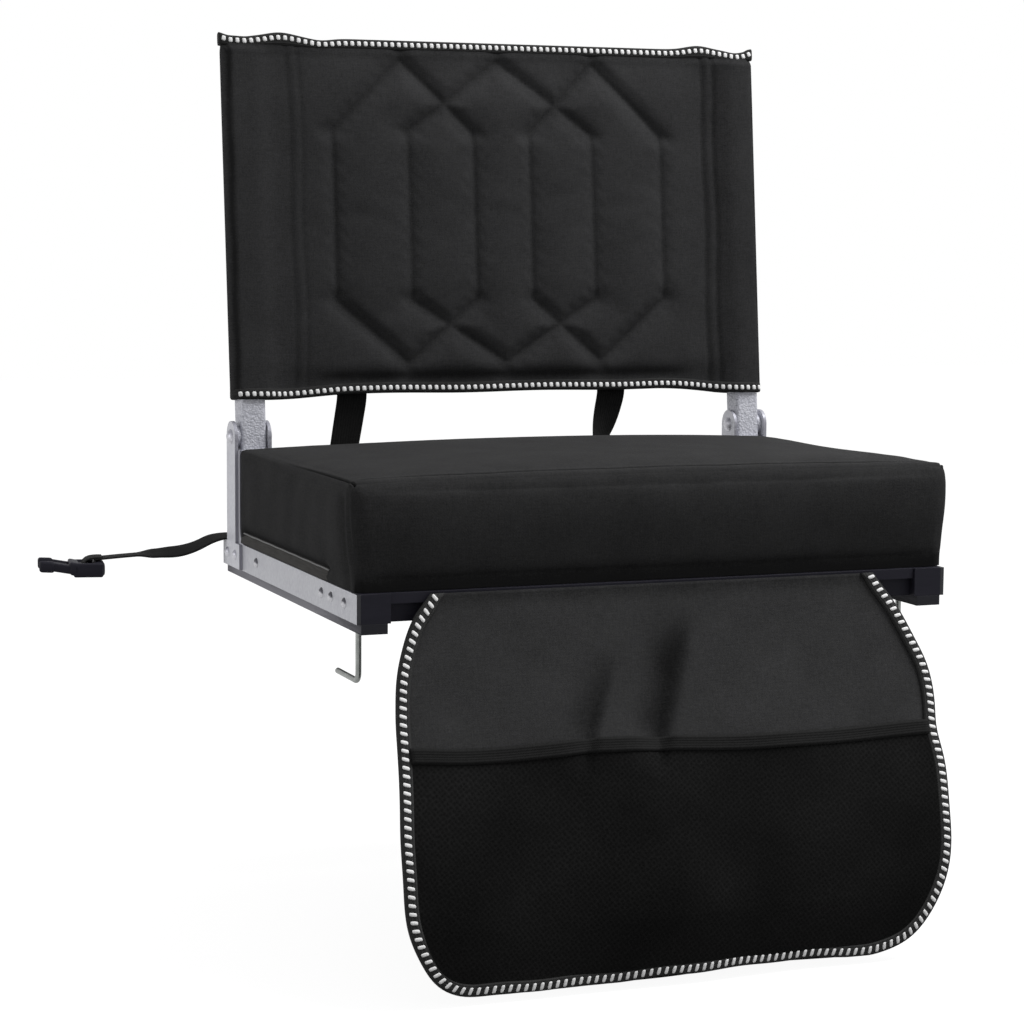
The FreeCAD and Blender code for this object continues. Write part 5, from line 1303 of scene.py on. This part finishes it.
flap_tape, flap_path, flap_facing = flap_trim()
flap_dash = dash_shape("flap_dash", 2.5, 5.0, 0.8, 1.3)
flap_dashes = dashes("flap_edge_dashes", flap_path, flap_facing, flap_dash, 5.45, THREAD)
for thing, node, slot in ((flap_cloth, "flap_panel", "flap_fabric"), (pocket, "flap_pocket", "pocket_mesh"),
                          (hem_band, "pocket_hem", "binding_tape"), (flap_tape, "flap_binding", "binding_tape"),
                          (flap_dashes, None, "binding_tape")):
    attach(thing, "flap")
    if node:
        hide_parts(node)

# ---------------------------------------------------------------- metal, plastic and rubber from the model
FINISHES = {
    PLATE_STEEL: ("side_plate",),
    HINGE_STEEL: ("hinge_plate",),
    TUBE_STEEL: ("upright", "recline_stop", "recline_stops", "hinge_spacers", "hinge_washers"),
    PLASTIC: ("side_beam", "crossbar", "upright_caps"),
    RUBBER: ("runner",),
    BOARD: ("seat_board",),
    HINGE_HEADS: ("hinge_pins", "rivets"),
    RAIL_HEADS: ("crossbar_screws", "plate_screws"),
    ZINC: ("board_screws", "strap_screws", "strap_screw", "clamp", "clamps", "hook", "hook_clip"),
}
for name, node in nodes.items():
    for finish, endings in FINISHES.items():
        if any(name.endswith(e) for e in endings):
            node.data.materials.clear()
            node.data.materials.append(finish)


# ---------------------------------------------------------------- studio
def studio():
    """Pale floor, white surround, a soft lamp high on the right and a weaker one on the left."""
    side, level = 6.0, -0.2345
    mesh = bpy.data.meshes.new("studio_floor")
    corners = [(x * side, y * side, level) for x, y in ((-1, -1), (1, -1), (1, 1), (-1, 1))]
    mesh.from_pydata(corners, [], [(0, 1, 2, 3)])
    floor = bpy.data.objects.new("studio_floor", mesh)
    scene.collection.objects.link(floor)
    f = Finish("studio_floor", Roughness=0.9, Specular_IOR_Level=0.1)
    glow = f.tree.nodes.new("ShaderNodeEmission")
    glow.inputs["Strength"].default_value = 1.2
    blend = f.tree.nodes.new("ShaderNodeMixShader")
    seen = f.node("ShaderNodeLightPath", out="Is Camera Ray")
    for ray in ("Is Glossy Ray", "Is Transmission Ray"):
        seen = seen.most(f.node("ShaderNodeLightPath", out=ray))
    f.set("Base Color", f.between(seen, grey(0.14), grey(0.8)))
    f._plug(blend.inputs[0], seen * 0.75)
    f.tree.links.new(f.surface.outputs[0], blend.inputs[1])
    f.tree.links.new(glow.outputs[0], blend.inputs[2])
    f.tree.links.new(blend.outputs[0], f.tree.nodes["Material Output"].inputs[0])
    mesh.materials.append(f.material)
    world = bpy.data.worlds.new("studio")
    scene.world = world
    world.use_nodes = True
    tree = world.node_tree
    paper = tree.nodes["Background"]
    path = tree.nodes.new("ShaderNodeLightPath")
    shown = path.outputs["Is Camera Ray"]
    for ray in ("Is Glossy Ray", "Is Transmission Ray"):
        either = tree.nodes.new("ShaderNodeMath")
        either.operation = "MAXIMUM"
        tree.links.new(shown, either.inputs[0])
        tree.links.new(path.outputs[ray], either.inputs[1])
        shown = either.outputs[0]
    power = tree.nodes.new("ShaderNodeMapRange")
    power.inputs["To Min"].default_value, power.inputs["To Max"].default_value = 0.52, 1.0
    tree.links.new(shown, power.inputs["Value"])
    tree.links.new(power.outputs[0], paper.inputs["Strength"])
    paper.inputs["Color"].default_value = (1, 1, 1, 1)
    for name, place, aim, size, watts in (("key_lamp", (1.05, -0.46, 1.75), (0, 0, 0.12), 0.9, 49),
                                          ("left_lamp", (-1.9, 0.22, 0.4), (-0.2, 0.1, 0.05), 0.8, 8)):
        lamp = bpy.data.lights.new(name, "AREA")
        lamp.size, lamp.energy = size, watts
        holder = bpy.data.objects.new(name, lamp)
        holder.location = place
        holder.rotation_euler = (Vector(aim) - Vector(place)).to_track_quat("-Z", "Y").to_euler()
        scene.collection.objects.link(holder)
    scene.view_settings.view_transform = "Standard"
    scene.view_settings.look = "None"


studio()
